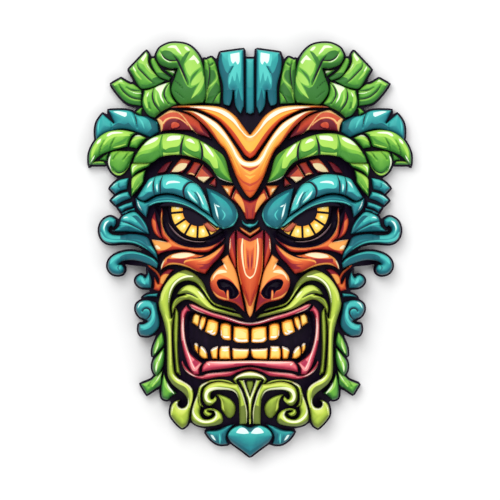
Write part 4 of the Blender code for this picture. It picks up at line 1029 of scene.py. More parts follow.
# The paint of a tile: one flat level of its shades, a darker foot of painted shade by the pupil,
# and two painted highlights, each an oval (middle, flattening, radius)
TILE_TONE = 0.74
TILE_SHADE = 0.0034
TILE_LIT = ((0.001, 0.0), (0.55, 0.8), 0.0024)
TILE_GLINT = ((-0.0005, 0.0006), (0.7, 1.0), 0.0012)

dark_paint = brushed_paint(
    "socket_black_paint", ("#0f0716", "#120919", "#150b1e", "#1a0f26"),
    shine=0.1, rough=0.6)
tile_paint = brushed_paint(
    "eye_yellow_paint", ("#ef942a", "#f6b53e", "#fac94f", "#fddd78"),
    painted_highlight="#fdf3dc", lit="#f6e184", shade="#f6a636")
eyeballs = carve_piece("eyeballs", dark_paint, [
    dict(lift=3, crown=4,
        outline=[(81, 52.5), (83, 44), (81.7, 34), (78, 24), (70, 16), (60, 10.7), (50, 9.5),
          (38, 12), (26, 18.5), (29, 23), (37, 31), (47, 42), (60, 49.5), (70, 52.5)]),
])


def loose_tile(name, material):
    """One tile of the ring, lying flat with its middle at the origin and out along +X."""
    edges = []
    for radius in (RING_OUTER - TILE_GAP / 2.0, RING_INNER + TILE_GAP / 2.0):
        turns = np.linspace(-1.0, 1.0, ARC_POINTS)
        turns = turns * (TILE_STEP / 2.0 - math.asin(TILE_GAP / 2.0 / radius))
        across = radius * np.cos(turns) - RING_MIDDLE
        edges.append(np.column_stack([across, radius * np.sin(turns)]))
    ring = even_ring(np.concatenate([edges[0], edges[1][::-1]]), TILE_FACET)
    plan, triangles = filled_net(ring, TILE_FACET, TILE_CLEAR)
    inside = np.maximum(signed_distance(plan, ring), 0.0)
    height = TILE_RISE * quarter_round(inside / TILE_ROUND)

    def oval(middle, flattened, radius):
        return np.hypot(*((plan - middle) * flattened).T) - radius

    # Its marks: painted shade at the foot by the pupil, and the two ovals as painted highlights
    marks = {
        "rim": inside,
        "tone_and_painted_shading": np.full(len(plan), TILE_TONE),
        "shade": np.hypot(plan[:, 0] + RING_MIDDLE, plan[:, 1]) - RING_INNER - TILE_SHADE,
        "lit": oval(*TILE_LIT),
        "painted_highlight": oval(*TILE_GLINT),
        "crease": np.full(len(plan), FAR_AWAY),
    }
    foot = np.full(len(plan), TILE_FOOT)
    verts, faces, marks = closed_form(plan, triangles, height, foot, marks)
    return plain_piece(name, verts, faces, [material], marks)


def tile_ring(name, side, tile, ground, paint):
    """The tiles of one eye, set round its pupil and laid on the ball by geometry nodes."""
    tree = bpy.data.node_groups.new("tiles_round_a_pupil", "GeometryNodeTree")
    tree.interface.new_socket("Geometry", in_out="OUTPUT", socket_type="NodeSocketGeometry")
    out, up = RING_CENTRE
    wanted = (
        ("Tile", "NodeSocketObject", tile),
        ("Ground", "NodeSocketObject", ground),
        ("Centre", "NodeSocketVector", (side * out * SQUARE, up * SQUARE, 0.0)),
        ("Radius", "NodeSocketFloat", RING_MIDDLE),
        ("Count", "NodeSocketInt", TILE_COUNT),
        ("First Turn", "NodeSocketFloat", FIRST_TILE if side == LEFT else math.pi - FIRST_TILE),
        ("Step Turn", "NodeSocketFloat", TILE_STEP if side == LEFT else -TILE_STEP),
        ("Paint", "NodeSocketMaterial", paint),
    )
    sockets = {
        label: tree.interface.new_socket(label, in_out="INPUT", socket_type=kind)
        for label, kind, _ in wanted
    }
    given = tree.nodes.new("NodeGroupInput").outputs

    def node(kind, inputs=None, **settings):
        return add(tree, kind, inputs, **settings).outputs

    # The middle of each tile, on a circle round the pupil
    number = node("GeometryNodeInputIndex")[0]
    turn = {0: number, 1: given["Step Turn"], 2: given["First Turn"]}
    turn = node("ShaderNodeMath", turn, operation="MULTIPLY_ADD")[0]
    spin = node("ShaderNodeCombineXYZ", {"Z": turn})[0]
    swing = {"Vector": node("ShaderNodeCombineXYZ", {"X": given["Radius"]})[0], "Rotation": spin}
    swing = node("ShaderNodeVectorRotate", swing, rotation_type="EULER_XYZ")[0]
    middle = node("ShaderNodeVectorMath", {0: swing, 1: given["Centre"]}, operation="ADD")[0]
    spots = node("GeometryNodeMeshLine", {"Count": given["Count"], "Offset": (0.0, 0.0, 0.0)})[0]
    spots = node("GeometryNodeSetPosition", {"Geometry": spots, "Position": middle})[0]
    one = node("GeometryNodeObjectInfo", {"Object": given["Tile"]})["Geometry"]
    tiles = {"Points": spots, "Instance": one, "Rotation": spin}
    tiles = node("GeometryNodeInstanceOnPoints", tiles)["Instances"]
    tiles = node("GeometryNodeRealizeInstances", {"Geometry": tiles})[0]
    # Each point of a tile is lifted by the height of the ball below it
    here = node("ShaderNodeSeparateXYZ", {0: node("GeometryNodeInputPosition")[0]})
    level = {"X": here["X"], "Y": here["Y"]}
    fall = {
        "Target Geometry": node("GeometryNodeObjectInfo", {"Object": given["Ground"]})["Geometry"],
        "Source Position": node("ShaderNodeCombineXYZ", {**level, "Z": 1.0})[0],
        "Ray Direction": (0.0, 0.0, -1.0),
        "Ray Length": 2.0,
    }
    fall = node("GeometryNodeRaycast", fall)
    landed = node("ShaderNodeSeparateXYZ", {0: fall["Hit Position"]})["Z"]
    height = node("ShaderNodeMath", {0: landed, 1: here["Z"]}, operation="ADD")[0]
    laid = node("ShaderNodeCombineXYZ", {**level, "Z": height})[0]
    laid = {"Geometry": tiles, "Selection": fall["Is Hit"], "Position": laid}
    laid = node("GeometryNodeSetPosition", laid)[0]
    painted = node("GeometryNodeSetMaterial", {"Geometry": laid, "Material": given["Paint"]})[0]
    add(tree, "NodeGroupOutput", {"Geometry": painted})

    holder = new_object(name + "_holder", bpy.data.meshes.new(name + "_holder"))
    modifier = holder.modifiers.new("tiles", "NODES")
    modifier.node_group = tree
    for label, _, value in wanted:
        modifier[sockets[label].identifier] = value
    seen = holder.evaluated_get(bpy.context.evaluated_depsgraph_get())
    piece = new_object(name, bpy.data.meshes.new_from_object(seen))
    bpy.data.objects.remove(holder)
    return declare(piece)


tile = loose_tile("one_tile", tile_paint)
for label, side in (("left", LEFT), ("right", RIGHT)):
    tile_ring("eye_tiles_" + label, side, tile, eyeballs, tile_paint)
bpy.data.objects.remove(tile)


# The inner corner of each eye, a small red-brown wedge beside the nose, and under the
# upper lid a dark strip, a step between the lid and the ball, painted black as the shadow
# the lid casts on the ball. Both are carved.
corner_paint = brushed_paint(
    "eye_corner_paint", ("#9a4430", "#b0533a", "#bb5c3f", "#c8704c"),
    line="#2a1420")
carve_piece("eye_corners", corner_paint, [
    dict(lift=12, crown=1, rim=0.1,
        outline=[(47.7, 26), (42, 28.5), (31.5, 19.7), (37, 17.2), (41.4, 19)]),
])
carve_piece("lid_undersides", dark_paint, [
    dict(lift=13, crown=1,
        outline=[(92, 45), (85, 48), (75, 48.5), (60, 44), (47, 36.5), (37, 28.5), (30.5, 23.5),
          (33, 21), (42, 27.8), (52, 35.2), (60.5, 39.6), (70, 41.7), (80, 42.8), (90, 42.5)]),
])


# The cheeks: long folds that sweep under each eye and roll over the cheekbone, with a
# flame-like strip outside. Carved from the block and painted brick red to cream, the cream
# as painted highlights along the folds, with painted shade in deep red.
orange_paint = brushed_paint(
    "burnt_orange_paint", ("#aa362a", "#c24a2c", "#d66034", "#e88243"),
    painted_highlight="#f9e3b8", lit="#f0a052", shade="#8a2431", shine=0.1)
carve_piece("cheek_folds", orange_paint, [
    dict(lift=6, crown=2, rim=0.7, base=0.1,
        outline=[(99.2, 28.5), (97.5, 35), (95, 39.5), (93.2, 30), (90, 19.5), (87.5, 13.5),
          (81.5, 9.2), (90, 11.5), (95.5, 16), (98.2, 22)],
        shade=[[(98.5, 33), (96, 42), (92, 33), (88, 17), (86, 11), (90, 13), (93.5, 20),
          (94.5, 28), (96.5, 30.5)]]),
    dict(lift=11, crown=6, rim=0.8,
        outline=[(88.7, 44), (86.6, 38), (87.2, 28), (84.5, 18.5), (78, 10.7), (68, 5), (55, 2.7),
          (42, 3.7), (32, 7.7), (23.5, 14.5), (28, 7.5), (35, 1.5), (42, -2.5), (54, -2.6),
          (65, -0.6), (75, -0.6), (85, -2.3), (92.5, -5.5), (99.7, 11.2), (90, 10), (83, 8.5),
          (88, 13.5), (89.7, 22), (90, 34)],
        lit=[[(98.5, 10.5), (90, 9), (81, 7), (78, 4), (84, 0.5), (90, -0.5),
          (94, 0)], [(88.5, 38, 0.3), (88, 28, 0.8), (85, 18.5, 0.9), (80, 12, 0.8)]],
        shade=[[(93, -4.8, 0.3), (86, -1.8, 1.1), (76, 0, 0.8), (66, 0.3, 0.4)], [(40, -1, 0.5),
          (33, 4, 1.6), (27, 10, 1)]],
        painted_highlight=[[(99, 10.7, 0.2), (92, 9.6, 0.6), (84, 8, 0.5), (80, 7, 0.1)], [(87.7, 31, 0.1),
          (85.7, 21, 0.6), (80, 13, 0.7), (71, 6.4, 0.8), (60, 3.5, 0.8), (49, 3, 0.8),
          (39, 4.6, 0.5), (33, 7.3, 0.1)], [(95.5, 4), (93, 5), (90, 2.5), (89.5, 1), (93.5, 1)]]),
    dict(lift=17, crown=7, rim=0.8,
        outline=[(89.7, -21), (89, -14.5), (85, -8), (78, -3.8), (69, -1.8), (60, -2), (52, -4.3),
          (44, -4.6), (36, -1.2), (24.5, 7.5), (26, -1), (30.5, -8.5), (37, -15), (44.5, -24.5),
          (53, -22), (64, -17.3), (75, -15), (83, -16.3)],
        crease=[[(62, -8.6, 0.1), (56, -8.3, 0.5), (47, -6.8, 0.9), (38, -2.3, 1.1),
          (30, 3.5, 0.9), (26, 6.5, 0.4)]],
        shade=[[(83.5, -12.5), (82.5, -8.3), (77, -9), (70, -8.8), (62, -8.5), (59, -9.5),
          (65, -11), (65.7, -14.5), (73, -12.8), (79, -12)], [(25, 6, 0.5), (28.5, -2, 1.8),
          (35, -10, 2), (42, -14.5, 1), (53, -14, 0.3)], [(51, -18, 0.3), (45, -17.5, 1.8),
          (40, -16, 0.6)]],
        lit=[[(88.2, -18, 0.4), (87, -12, 1.2), (82.5, -6.5, 1.4),
          (76, -3.8, 1.2)], [(86, -17, 0.3), (80, -14.2, 1), (72, -14.2, 1.1), (64, -16.2, 1),
          (56, -19.8, 0.7), (50, -22.6, 0.3)], [(65.7, -13.5, 0.3), (64, -11, 0.9),
          (56, -9.5, 0.8), (47, -8.2, 0.7), (39, -4.8, 0.6), (32, 0.2, 0.5),
          (26.5, 5.2, 0.2)], [(51, -11.5, 0.3), (42, -9, 0.8), (34, -3.5, 0.8), (29, 1.5, 0.3)]],
        painted_highlight=[[(89.1, -19.5, 0.3), (88.2, -15, 1), (86, -10.8, 0.6)], [(79, -7.3), (76.5, -4.8),
          (69, -2.9), (61, -2.9), (54, -4.6), (60, -6.5), (69, -8.2)]]),
    dict(lift=6, crown=3, rim=0.7, base=0.04,
        outline=[(96.2, -25), (91.7, -34), (90.4, -26.8), (86, -21.5), (81, -18.6), (75.2, -19.5),
          (81, -26), (85.5, -33.5), (90.2, -42), (96.8, -40)],
        shade=[[(90, -26.5), (86, -20.5), (81, -17.5), (74, -19), (79, -24), (85, -23.8)]],
        lit=[[(89.5, -27.5), (85, -24.5), (80, -24.2), (83, -28), (87, -34), (89.7, -33)]]),
    dict(lift=8, crown=2, rim=0.35, base=0.22,
        outline=[(103.6, -14.4), (98, -16.6), (92, -22), (89, -28), (89.7, -35.5), (91.4, -29),
          (94.5, -23.5), (99.5, -19)]),
])


# The lower edge of each eye socket: a thin crescent between the ball and the cheek, left
# standing when the socket was sunk and painted a pale pinkish grey as a painted highlight
# along that edge.
grey_paint = brushed_paint(
    "socket_edge_highlight_paint", ("#5a4450", "#9a7d7c", "#c5aa9c", "#dcc6b4"),
    line="#3a2432")
carve_piece("eye_socket_edges", grey_paint, [
    dict(lift=6, crown=1, rim=0.2,
        outline=[(82.4, 28.5), (80, 22.5), (74.5, 15.7), (67, 10.6), (58, 8), (49, 7.4),
          (38.5, 9.4), (49, 8.8), (58, 9.5), (66, 12.2), (73, 17.2), (78.5, 23.5)]),
])


# The middle of the brow: small wedges between the beak and the nose, a tongue down the
# middle and two chevrons under it, one teal. They fill the frown.
carve_piece("frown_wedges", orange_paint, [
    dict(lift=11, crown=3, rim=0.7, base=0.12,
        outline=[(29.5, 65), (15, 64.7), (19.7, 51)],
        lit=[[(27.5, 62.5), (23, 63), (20.2, 60), (20.7, 52.5)]],
        painted_highlight=[[(25.5, 61.4), (22, 61.2), (21.2, 56.5)]]),
    dict(lift=13, crown=4, rim=0.8, centre=True, base=-0.5,
        outline=[(0, 49), (7, 52.5), (14, 62.5), (19.7, 51), (12, 44.5), (6.5, 36), (4.5, 30.2),
          (0, 30.2)],
        shade=[[(12, 60, 0.3), (6.7, 51.5, 0.9), (2.5, 48.5, 1), (0, 47.5, 1)], [(3.7, 45, 0.2),
          (2.7, 38, 0.7), (2.5, 31, 0.5)]],
        lit=[[(16, 52), (14, 56.7), (10, 54), (6.5, 47), (4.7, 37), (7, 39), (11, 45)]],
        painted_highlight=[[(18, 51.5, 0.2), (16.4, 56.5, 0.5), (14.8, 60.5, 0.2)]]),
    dict(lift=9, crown=2, rim=0.6, centre=True, base=0.05,
        outline=[(0, 17.5), (7, 22), (10.5, 23.5), (9.5, 19), (0, 12)],
        lit=[[(9.7, 22, 0.3), (5, 19, 0.7), (0, 16, 0.8)]]),
])
carve_piece("teal_chevron", teal_paint, [
    dict(lift=11, crown=3, rim=0.7, centre=True, base=0.05,
        outline=[(0, 26.8), (4.2, 26.8), (8.7, 31.5), (7.5, 25), (0, 20.8)]),
])


# The nose: one broad ridge down the middle of the face, with a strip on each side and
# wide wings rolled round deep nostrils. It is the highest carving of the mask.
carve_piece("nose", orange_paint, [
    dict(lift=20, crown=4, rim=0.6, base=-0.2,
        outline=[(20.5, 12), (14.5, 20.5), (13.8, 5), (13, -24), (18.5, -12), (21.2, -2)],
        shade=[[(19, 13), (14.5, 20), (14, 0), (14, -12), (16.5, -2)]],
        painted_highlight=[[(19.3, 11, 0.3), (20, 4, 0.5), (20.7, -2, 0.3)]]),
    dict(lift=28, crown=12, rim=0.8, fade=((22, -12), (12, -62), 0.3),
        outline=[(21.7, -3.6), (29.4, -10), (26.5, -14), (32.5, -18), (39, -26), (40.4, -33),
          (38.5, -40), (34, -47), (28, -50.3), (20, -52), (13, -55), (4.5, -63.5), (6.5, -53),
          (9.5, -38), (13.5, -21), (19, -10)],
        pits=[[(33.2, -33), (31.7, -29.6), (27, -28.8), (21, -30.3), (16, -34), (12, -39.5),
          (10.7, -43.5), (14, -47.6), (18.5, -49), (20.7, -47.5), (21.2, -41), (22.5, -39.5),
          (23.4, -42), (23.8, -47), (25.7, -41.3), (30.5, -38.8)]],
        lit=[[(22, -5), (19, -11), (14, -22), (10.5, -34), (9, -43), (14, -36), (19, -29.5),
          (25, -26), (31, -24.5), (36, -27), (38.7, -33), (38.7, -27), (34, -20.5), (28, -17.5),
          (23.7, -20), (27.5, -11)], [(37, -41, 0.3), (32, -46, 0.9), (25, -48.6, 0.8),
          (21, -49.5, 0.3)], [(22.2, -41, 0.5), (22.2, -45, 0.8), (21.7, -49, 0.4)]],
        shade=[[(19, -49), (14, -48.5), (10, -44), (8.5, -49), (6.5, -59), (11.5, -53)]],
        painted_highlight=[[(37.2, -30.5), (36, -25), (31, -20), (25, -20.3), (22.5, -22.3), (28, -23),
          (33.5, -24.8)], [(28.4, -11.5, 0.5), (25.5, -15, 0.9), (23, -19.5, 0.4)]]),
    dict(lift=22, crown=12, rim=0.8, centre=True, base=-0.1, fade=((0, -40), (0, -68), 0.16),
        outline=[(0, 11.5), (9, 17.5), (13.6, 21.2), (13.6, 0), (13, -20), (9, -38), (5.5, -52),
          (3.5, -62), (0, -68.5)],
        shade=[[(13.2, 20), (9.5, 17.5), (0, 10.5), (0, 8), (6, 10.5), (10.5, 12),
          (12.5, 10)], [(2.2, 0, 0.2), (1.8, -12, 0.9), (1, -20, 0.3)], [(6.5, -34, 0.2),
          (3.5, -44, 0.5), (0.5, -53, 0.3)]],
        lit=[[(12.8, 10, 0.3), (12.7, -6, 0.7), (12, -20, 0.8), (9, -34, 0.8)], [(7.5, -40),
          (5, -46), (1.5, -55), (0, -56), (0, -67.5), (2.5, -62), (5, -52)], [(5.2, 10, 0.5),
          (5, -4, 0.8), (4, -18, 0.5)]],
        painted_highlight=[[(7.2, 11.5, 0.5), (8, 3, 1), (7.6, -7, 0.9), (6.2, -17, 0.7), (4, -24.5, 0.6),
          (0, -28, 0.8)]]),
])


# The muzzle: a lime ring that arches over each side of the mouth and runs down the jaw
# to a hooked tusk at its foot, with a second roll of flesh inside it.
lime_paint = brushed_paint(
    "lime_paint", ("#76882f", "#9db83f", "#bcd24b", "#d4e36c"),
    painted_highlight="#f6f8d2", lit="#d2e268", shade="#6d7d33")
carve_piece("muzzle", lime_paint, [
    dict(lift=18, crown=8, rim=0.7,
        outline=[(67, -19.8), (78, -26), (86.5, -37), (91.2, -50), (91.1, -58), (87, -71),
          (83.7, -88), (83.2, -122), (79.5, -132.5), (74, -138), (68, -142.5), (64, -147),
          (62.8, -152), (64.2, -156), (67.7, -158), (71, -156.8), (72, -153.8), (70.5, -151.2),
          (67.5, -149.8), (73, -150.4), (77.5, -153.5), (79.8, -159), (79.6, -166.3), (74, -174),
          (68.2, -179.3), (63.5, -176), (61, -170), (59.2, -159), (56.7, -148), (56.5, -141),
          (60.5, -135), (67, -130.8), (72.5, -127), (75.7, -120), (77.7, -95), (77.3, -75),
          (75.2, -62), (78.5, -68), (79.7, -56), (78.2, -46), (74.5, -37), (68, -32), (60, -31),
          (53, -34), (47, -41), (40.5, -50.5), (34, -56), (25, -58.4), (12, -62), (18, -57.5),
          (28, -55), (36, -51.5), (41.5, -43), (46, -33), (52.5, -25.5), (60, -20.8)],
        shade=[[(67, -18.5), (60, -19.5), (51, -26), (45, -34), (40.5, -44), (35, -52.5),
          (39.5, -50), (45, -41), (51, -33), (58, -27), (66, -23.5), (72, -23)], [(79.7, -66, 0.2),
          (80.7, -53, 1.1), (78.5, -43, 1.2), (74.5, -35.5, 1), (68, -30.8, 0.9), (60, -29.3, 0.9),
          (54, -31, 0.4)], [(28, -55.5, 0.5), (21, -57.5, 0.9), (14, -60.5, 0.3)], [(85, -72, 0.3),
          (82.5, -85, 0.7), (82.2, -105, 0.7), (81.7, -122, 0.5)], [(81.5, -122), (78, -129),
          (72, -133.5), (65.5, -136.5), (62, -141), (61.5, -149), (62.8, -152), (64, -147),
          (68, -142), (74, -137.5), (79.5, -132)], [(81, -163), (78.5, -167.5), (73, -174),
          (68.2, -179.3), (70, -180), (80, -168)], [(60.7, -168, 0.3), (63.5, -176, 1),
          (67.5, -179, 0.4)]],
        lit=[[(88, -50, 0.8), (86, -40, 2.2), (79, -30.5, 2.4),
          (70, -24.5, 1.8)], [(84.5, -64, 0.4), (80.7, -75, 1), (79.5, -95, 1),
          (79, -115, 0.5)], [(50.5, -33.5, 0.2), (46, -40, 0.5), (41, -48, 0.6),
          (35, -54.5, 0.5)], [(61, -138, 0.5), (58.5, -143, 1), (58.7, -150, 1.1),
          (60.7, -157, 0.9)], [(78.7, -165, 0.5), (77.2, -157, 1), (73.5, -152.5, 0.8)]],
        painted_highlight=[[(81.3, -53, 0.2), (80, -43, 0.6), (76.5, -35, 0.9), (71, -29.5, 0.9),
          (64, -26.5, 1), (57, -26.3, 0.5)], [(77.7, -124, 0.2), (73, -129.3, 0.8),
          (66, -132.3, 0.9), (60.7, -136.3, 0.9), (58.5, -140, 0.5)], [(76, -153.6, 0.2),
          (73, -152.2, 0.5), (72.8, -156.2, 0.6), (69.5, -159, 0.8), (64.5, -158.8, 0.8),
          (61.7, -154, 0.6), (61.5, -148, 0.2)], [(78.2, -163, 0.2), (77.7, -158.5, 0.5),
          (76.3, -155.3, 0.2)]]),
    dict(lift=15, crown=7, rim=0.8,
        outline=[(74, -44.8), (70, -39), (64, -35), (58, -34.6), (52, -37.5), (47, -43),
          (41.5, -50.5), (36, -56), (28, -59), (18, -62), (10, -64), (5, -69), (20, -65.5),
          (37, -61.3), (47, -57.5), (58, -51.3), (64, -50), (69.5, -52.5), (74.5, -58),
          (77.5, -68), (79, -58), (76, -50), (71, -46.5), (65, -44.5)],
        crease=[[(74.5, -47.5, 0.2), (70, -44.8, 0.6), (64, -43.3, 0.7), (58, -44.6, 0.7),
          (52, -48.3, 0.2)]],
        shade=[[(74, -45), (70, -40), (64, -37), (69, -41), (70, -43)], [(70, -41.8, 0.3),
          (64, -41.2, 0.9), (58, -42.4, 0.3)], [(76.5, -56, 0.3), (72, -49.8, 0.9),
          (66, -47.8, 0.8), (60, -49, 0.3)], [(40, -59), (30, -60.5), (18, -63.5), (10, -65),
          (5, -69.5), (20, -66), (37, -62.5)]],
        lit=[[(62, -39.5, 0.6), (54, -42, 1.8), (47, -48.5, 2.6), (41, -55, 2), (34, -59, 0.8)]],
        painted_highlight=[[(52.5, -40.5, 0.2), (49, -44, 1), (46.2, -48, 0.4)]]),
    dict(lift=7, crown=2, rim=0.25, base=-0.1,
        outline=[(74.5, -123), (76.6, -95), (76.8, -75), (75, -57), (71.2, -63), (71.1, -75),
          (71.8, -95), (71.2, -112), (69, -126)]),
])


# The lips: a pink roll round the snarling mouth, cut through at its corners, with a
# second band below. The mouth behind them is sunk into the block and stained dark.
lip_paint = brushed_paint(
    "lip_pink_paint", ("#a52a48", "#cc4a60", "#dd6470", "#ee8a8c"),
    painted_highlight="#f8d4cc", lit="#f09a98", shade="#ad2b4b")
carve_piece("lips", lip_paint, [
    dict(lift=14, crown=4, rim=0.45, centre=True,
        outline=[(0, -75.6), (10, -74.3), (22, -70.8), (35, -67.6), (47, -63.5), (56, -60),
          (59.5, -57), (61.4, -53.8), (56.5, -53.8), (48, -57.6), (37, -62), (24, -65.6),
          (10, -70.4), (0, -72.2)],
        shade=[[(54, -61.5, 0.2), (42, -65.8, 0.7), (28, -69.6, 0.9), (14, -73.5, 0.9),
          (0, -75.5, 1)]],
        lit=[[(59, -54.8, 0.3), (50, -57.8, 0.9), (38, -62.6, 0.8), (24, -66.2, 0.7),
          (10, -70.3, 0.5)]],
        painted_highlight=[[(60.4, -55, 0.3), (57.5, -58.3, 0.7), (52, -61.2, 0.7),
          (45, -63.4, 0.3)], [(32, -65.6, 0.1), (21, -68.6, 0.5), (10, -71.8, 0.7),
          (0, -73, 0.8)]]),
    dict(lift=14, crown=4, rim=0.45,
        outline=[(63.5, -55), (61.5, -58), (59.2, -61), (62.5, -61.6), (64.7, -67), (65.2, -78),
          (64, -90), (61, -101), (55.5, -107.5), (47.5, -113.3), (50, -118), (50.7, -124.5),
          (56, -124.8), (61.5, -117), (66, -104), (69.4, -88), (69.7, -72), (69, -62)],
        shade=[[(57.7, -112), (54.5, -108.5), (50.5, -113), (54.5, -116.8)], [(61.5, -95, 0.2),
          (59.5, -103, 0.8), (54, -110, 0.6), (50, -112.5, 0.3)], [(65, -57, 0.5),
          (62, -60.3, 0.8)]],
        lit=[[(67, -63, 0.3), (68.2, -75, 0.6), (67.5, -90, 0.6)], [(60, -111, 0.5),
          (56, -119.5, 1.4), (50.5, -115, 0.9), (48, -113.4, 0.3)]],
        painted_highlight=[[(66.3, -65, 0.2), (66.8, -77, 0.8), (65.4, -90, 0.8), (62, -102, 0.7),
          (59, -111, 0.6), (55.5, -118.5, 0.5)]]),
    dict(lift=14, crown=5, rim=0.45, centre=True,
        outline=[(0, -110.3), (25, -110.8), (41, -110.8), (45.7, -113.5), (48.2, -118),
          (48.1, -122.3), (38, -120.2), (24, -118.6), (10, -116.5), (0, -115.2)],
        shade=[[(0, -113), (12, -113), (18, -114), (12, -115.3), (0, -114.8)], [(46, -119.5, 0.3),
          (36, -118.3, 0.6), (22, -116.6, 0.3)]],
        painted_highlight=[[(41.5, -112, 0.4), (28, -112.2, 1), (14, -111.9, 1),
          (0, -111.6, 1.1)], [(43.7, -112.5, 0.2), (40.7, -114.5, 0.8)]]),
    dict(lift=9, crown=4, rim=0.45, centre=True,
        outline=[(0, -116.6), (9, -118), (17, -120.5), (28, -121.6), (42, -123), (47.8, -125.5),
          (53.5, -124.9), (60, -121), (65.5, -114.5), (67.8, -109.8), (68.7, -114), (65.5, -120.5),
          (60, -125.5), (52, -129), (44, -129.3), (32, -127.3), (20, -126.4), (12, -122.3),
          (0, -119.4)],
        shade=[[(28, -124.5, 0.3), (19, -123.6, 1.1), (10, -120.3, 1), (0, -118.3, 1)]],
        painted_highlight=[[(68, -116, 0.3), (64, -121, 0.6), (58, -125, 0.6),
          (53, -126.8, 0.2)], [(47, -125.2, 0.3), (39, -123.5, 0.6), (28, -122.4, 0.5),
          (19, -121.5, 0.2)]]),
])


# The teeth: ten stout pegs above and ten below, the big ones in front, left standing in
# the sunk mouth and painted yellow, with painted shade deeper at the gum and painted
# highlights almost white at the edge.
tooth_paint = brushed_paint(
    "tooth_yellow_paint", ("#f8b040", "#fcc24c", "#fdd160", "#fee080"),
    painted_highlight="#fdf8ec", lit="#fce08a", shade="#f29a2f")
carve_piece("teeth", tooth_paint, [
    dict(base=0.25, lift=3, crown=3, rim=0.3,
        outline=[(58.3, -72.8), (57, -66), (54.2, -63.2), (49.7, -65), (50.3, -71), (52, -77)],
        shade=[[(57, -67, 0.8), (54.5, -63.8, 1), (50, -65.3, 0.8)]]),
    dict(base=0.2, lift=4, crown=3, rim=0.3,
        outline=[(48, -65.8), (43.7, -67), (43.8, -71), (45.7, -77), (48.5, -80.4), (51.4, -78.6),
          (50.2, -71)],
        shade=[[(48, -67), (44.5, -67.5), (47, -71)]],
        painted_highlight=[[(49.4, -70, 0.2), (50.2, -75, 0.75), (49.2, -79, 0.75)]]),
    dict(lift=6, crown=4, rim=0.3,
        outline=[(42, -68.8), (36.5, -69), (31.2, -71.8), (31.6, -78), (33.2, -84), (36.7, -85.8),
          (45.4, -81.8)],
        shade=[[(42.5, -70.3, 1.4), (37, -70.8, 1.6), (31.5, -73, 1)]],
        lit=[[(40, -74), (36.5, -73), (34.5, -76), (36, -80), (40.5, -79)]],
        painted_highlight=[[(42, -81.3, 0.75), (39.5, -81.6, 1.15), (37.5, -80.3, 0.65)], [(39.5, -83.8, 0.65),
          (36.5, -83.6, 0.85), (34.5, -81.8, 0.3)]]),
    dict(lift=7, crown=4, rim=0.3,
        outline=[(29.5, -75), (26.5, -72.6), (22, -73), (18.7, -75), (18.8, -90), (23, -90.4),
          (27.5, -88.8), (29.7, -84)],
        shade=[[(28.5, -75.5, 1.2), (25, -74, 1.3), (19.2, -76, 1)]],
        lit=[[(26.5, -78), (22.5, -78), (22.2, -85), (26.5, -85)]],
        painted_highlight=[[(27.2, -85.7, 0.3), (25, -86.8, 1.05), (21.3, -86.9, 0.85)], [(28.6, -80, 0.2),
          (28.7, -85, 0.75)]]),
    dict(lift=8, crown=4, rim=0.3,
        outline=[(16.5, -76), (10, -75.8), (4, -77), (1.2, -79.5), (1, -92), (4, -93), (13, -92.6),
          (17, -90)],
        shade=[[(16, -77.2, 1), (9, -77.4, 1.3), (1.5, -79.3, 1)]],
        lit=[[(14.2, -80), (9, -80.5), (4, -83), (4, -88), (14, -88)]],
        painted_highlight=[[(14.5, -88.3, 0.95), (12.5, -90, 1.25), (9, -90.6, 1.05), (3.5, -90.4, 1.05)]]),
    dict(lift=2, crown=3, rim=0.3, base=0.15,
        outline=[(55.7, -93), (53.5, -92.8), (51.6, -95.5), (51.9, -104.5), (55, -101),
          (56.2, -97)],
        painted_highlight=[[(55, -94, 0.85), (53.3, -94.3, 0.95), (52.2, -96, 0.65)]]),
    dict(lift=3, crown=3, rim=0.3, base=0.15,
        outline=[(49.7, -96.3), (48, -95.9), (44.7, -99), (42.7, -103.5), (42, -108.8),
          (46.5, -109.2), (51, -105.5), (51, -100)],
        painted_highlight=[[(49.4, -97.3, 0.85), (46.7, -98.8, 1.25), (44, -102.5, 0.95)]]),
    dict(lift=4, crown=3, rim=0.3, base=0.15,
        outline=[(39.7, -101.5), (37.5, -98), (32, -95.8), (31.8, -100), (32.4, -109.6),
          (37.8, -109.4)],
        painted_highlight=[[(38.5, -100.5, 0.75), (36, -98.3, 1.25), (32.5, -97.3, 1.25)]]),
    dict(lift=5, crown=3, rim=0.3, base=0.15,
        outline=[(30.5, -99), (28.5, -96), (20.5, -95.8), (19.8, -102), (19.3, -109.7),
          (30.3, -109.8), (31.1, -105)],
        painted_highlight=[[(28.5, -97.5, 0.75), (25, -97.2, 1.15), (21, -97.2, 0.85)], [(28, -100, 0.3),
          (25, -100.3, 0.95), (21.5, -100, 0.3)]]),
    dict(lift=5, crown=3, rim=0.3, base=0.15,
        outline=[(17.7, -98), (10, -98.6), (1.1, -98.8), (0.8, -103), (2.5, -108), (7, -109.5),
          (17.2, -109.8), (18, -104)],
        painted_highlight=[[(17.2, -99, 0.95), (10, -99.7, 1.15), (1.5, -99.8, 1.15)]]),
])


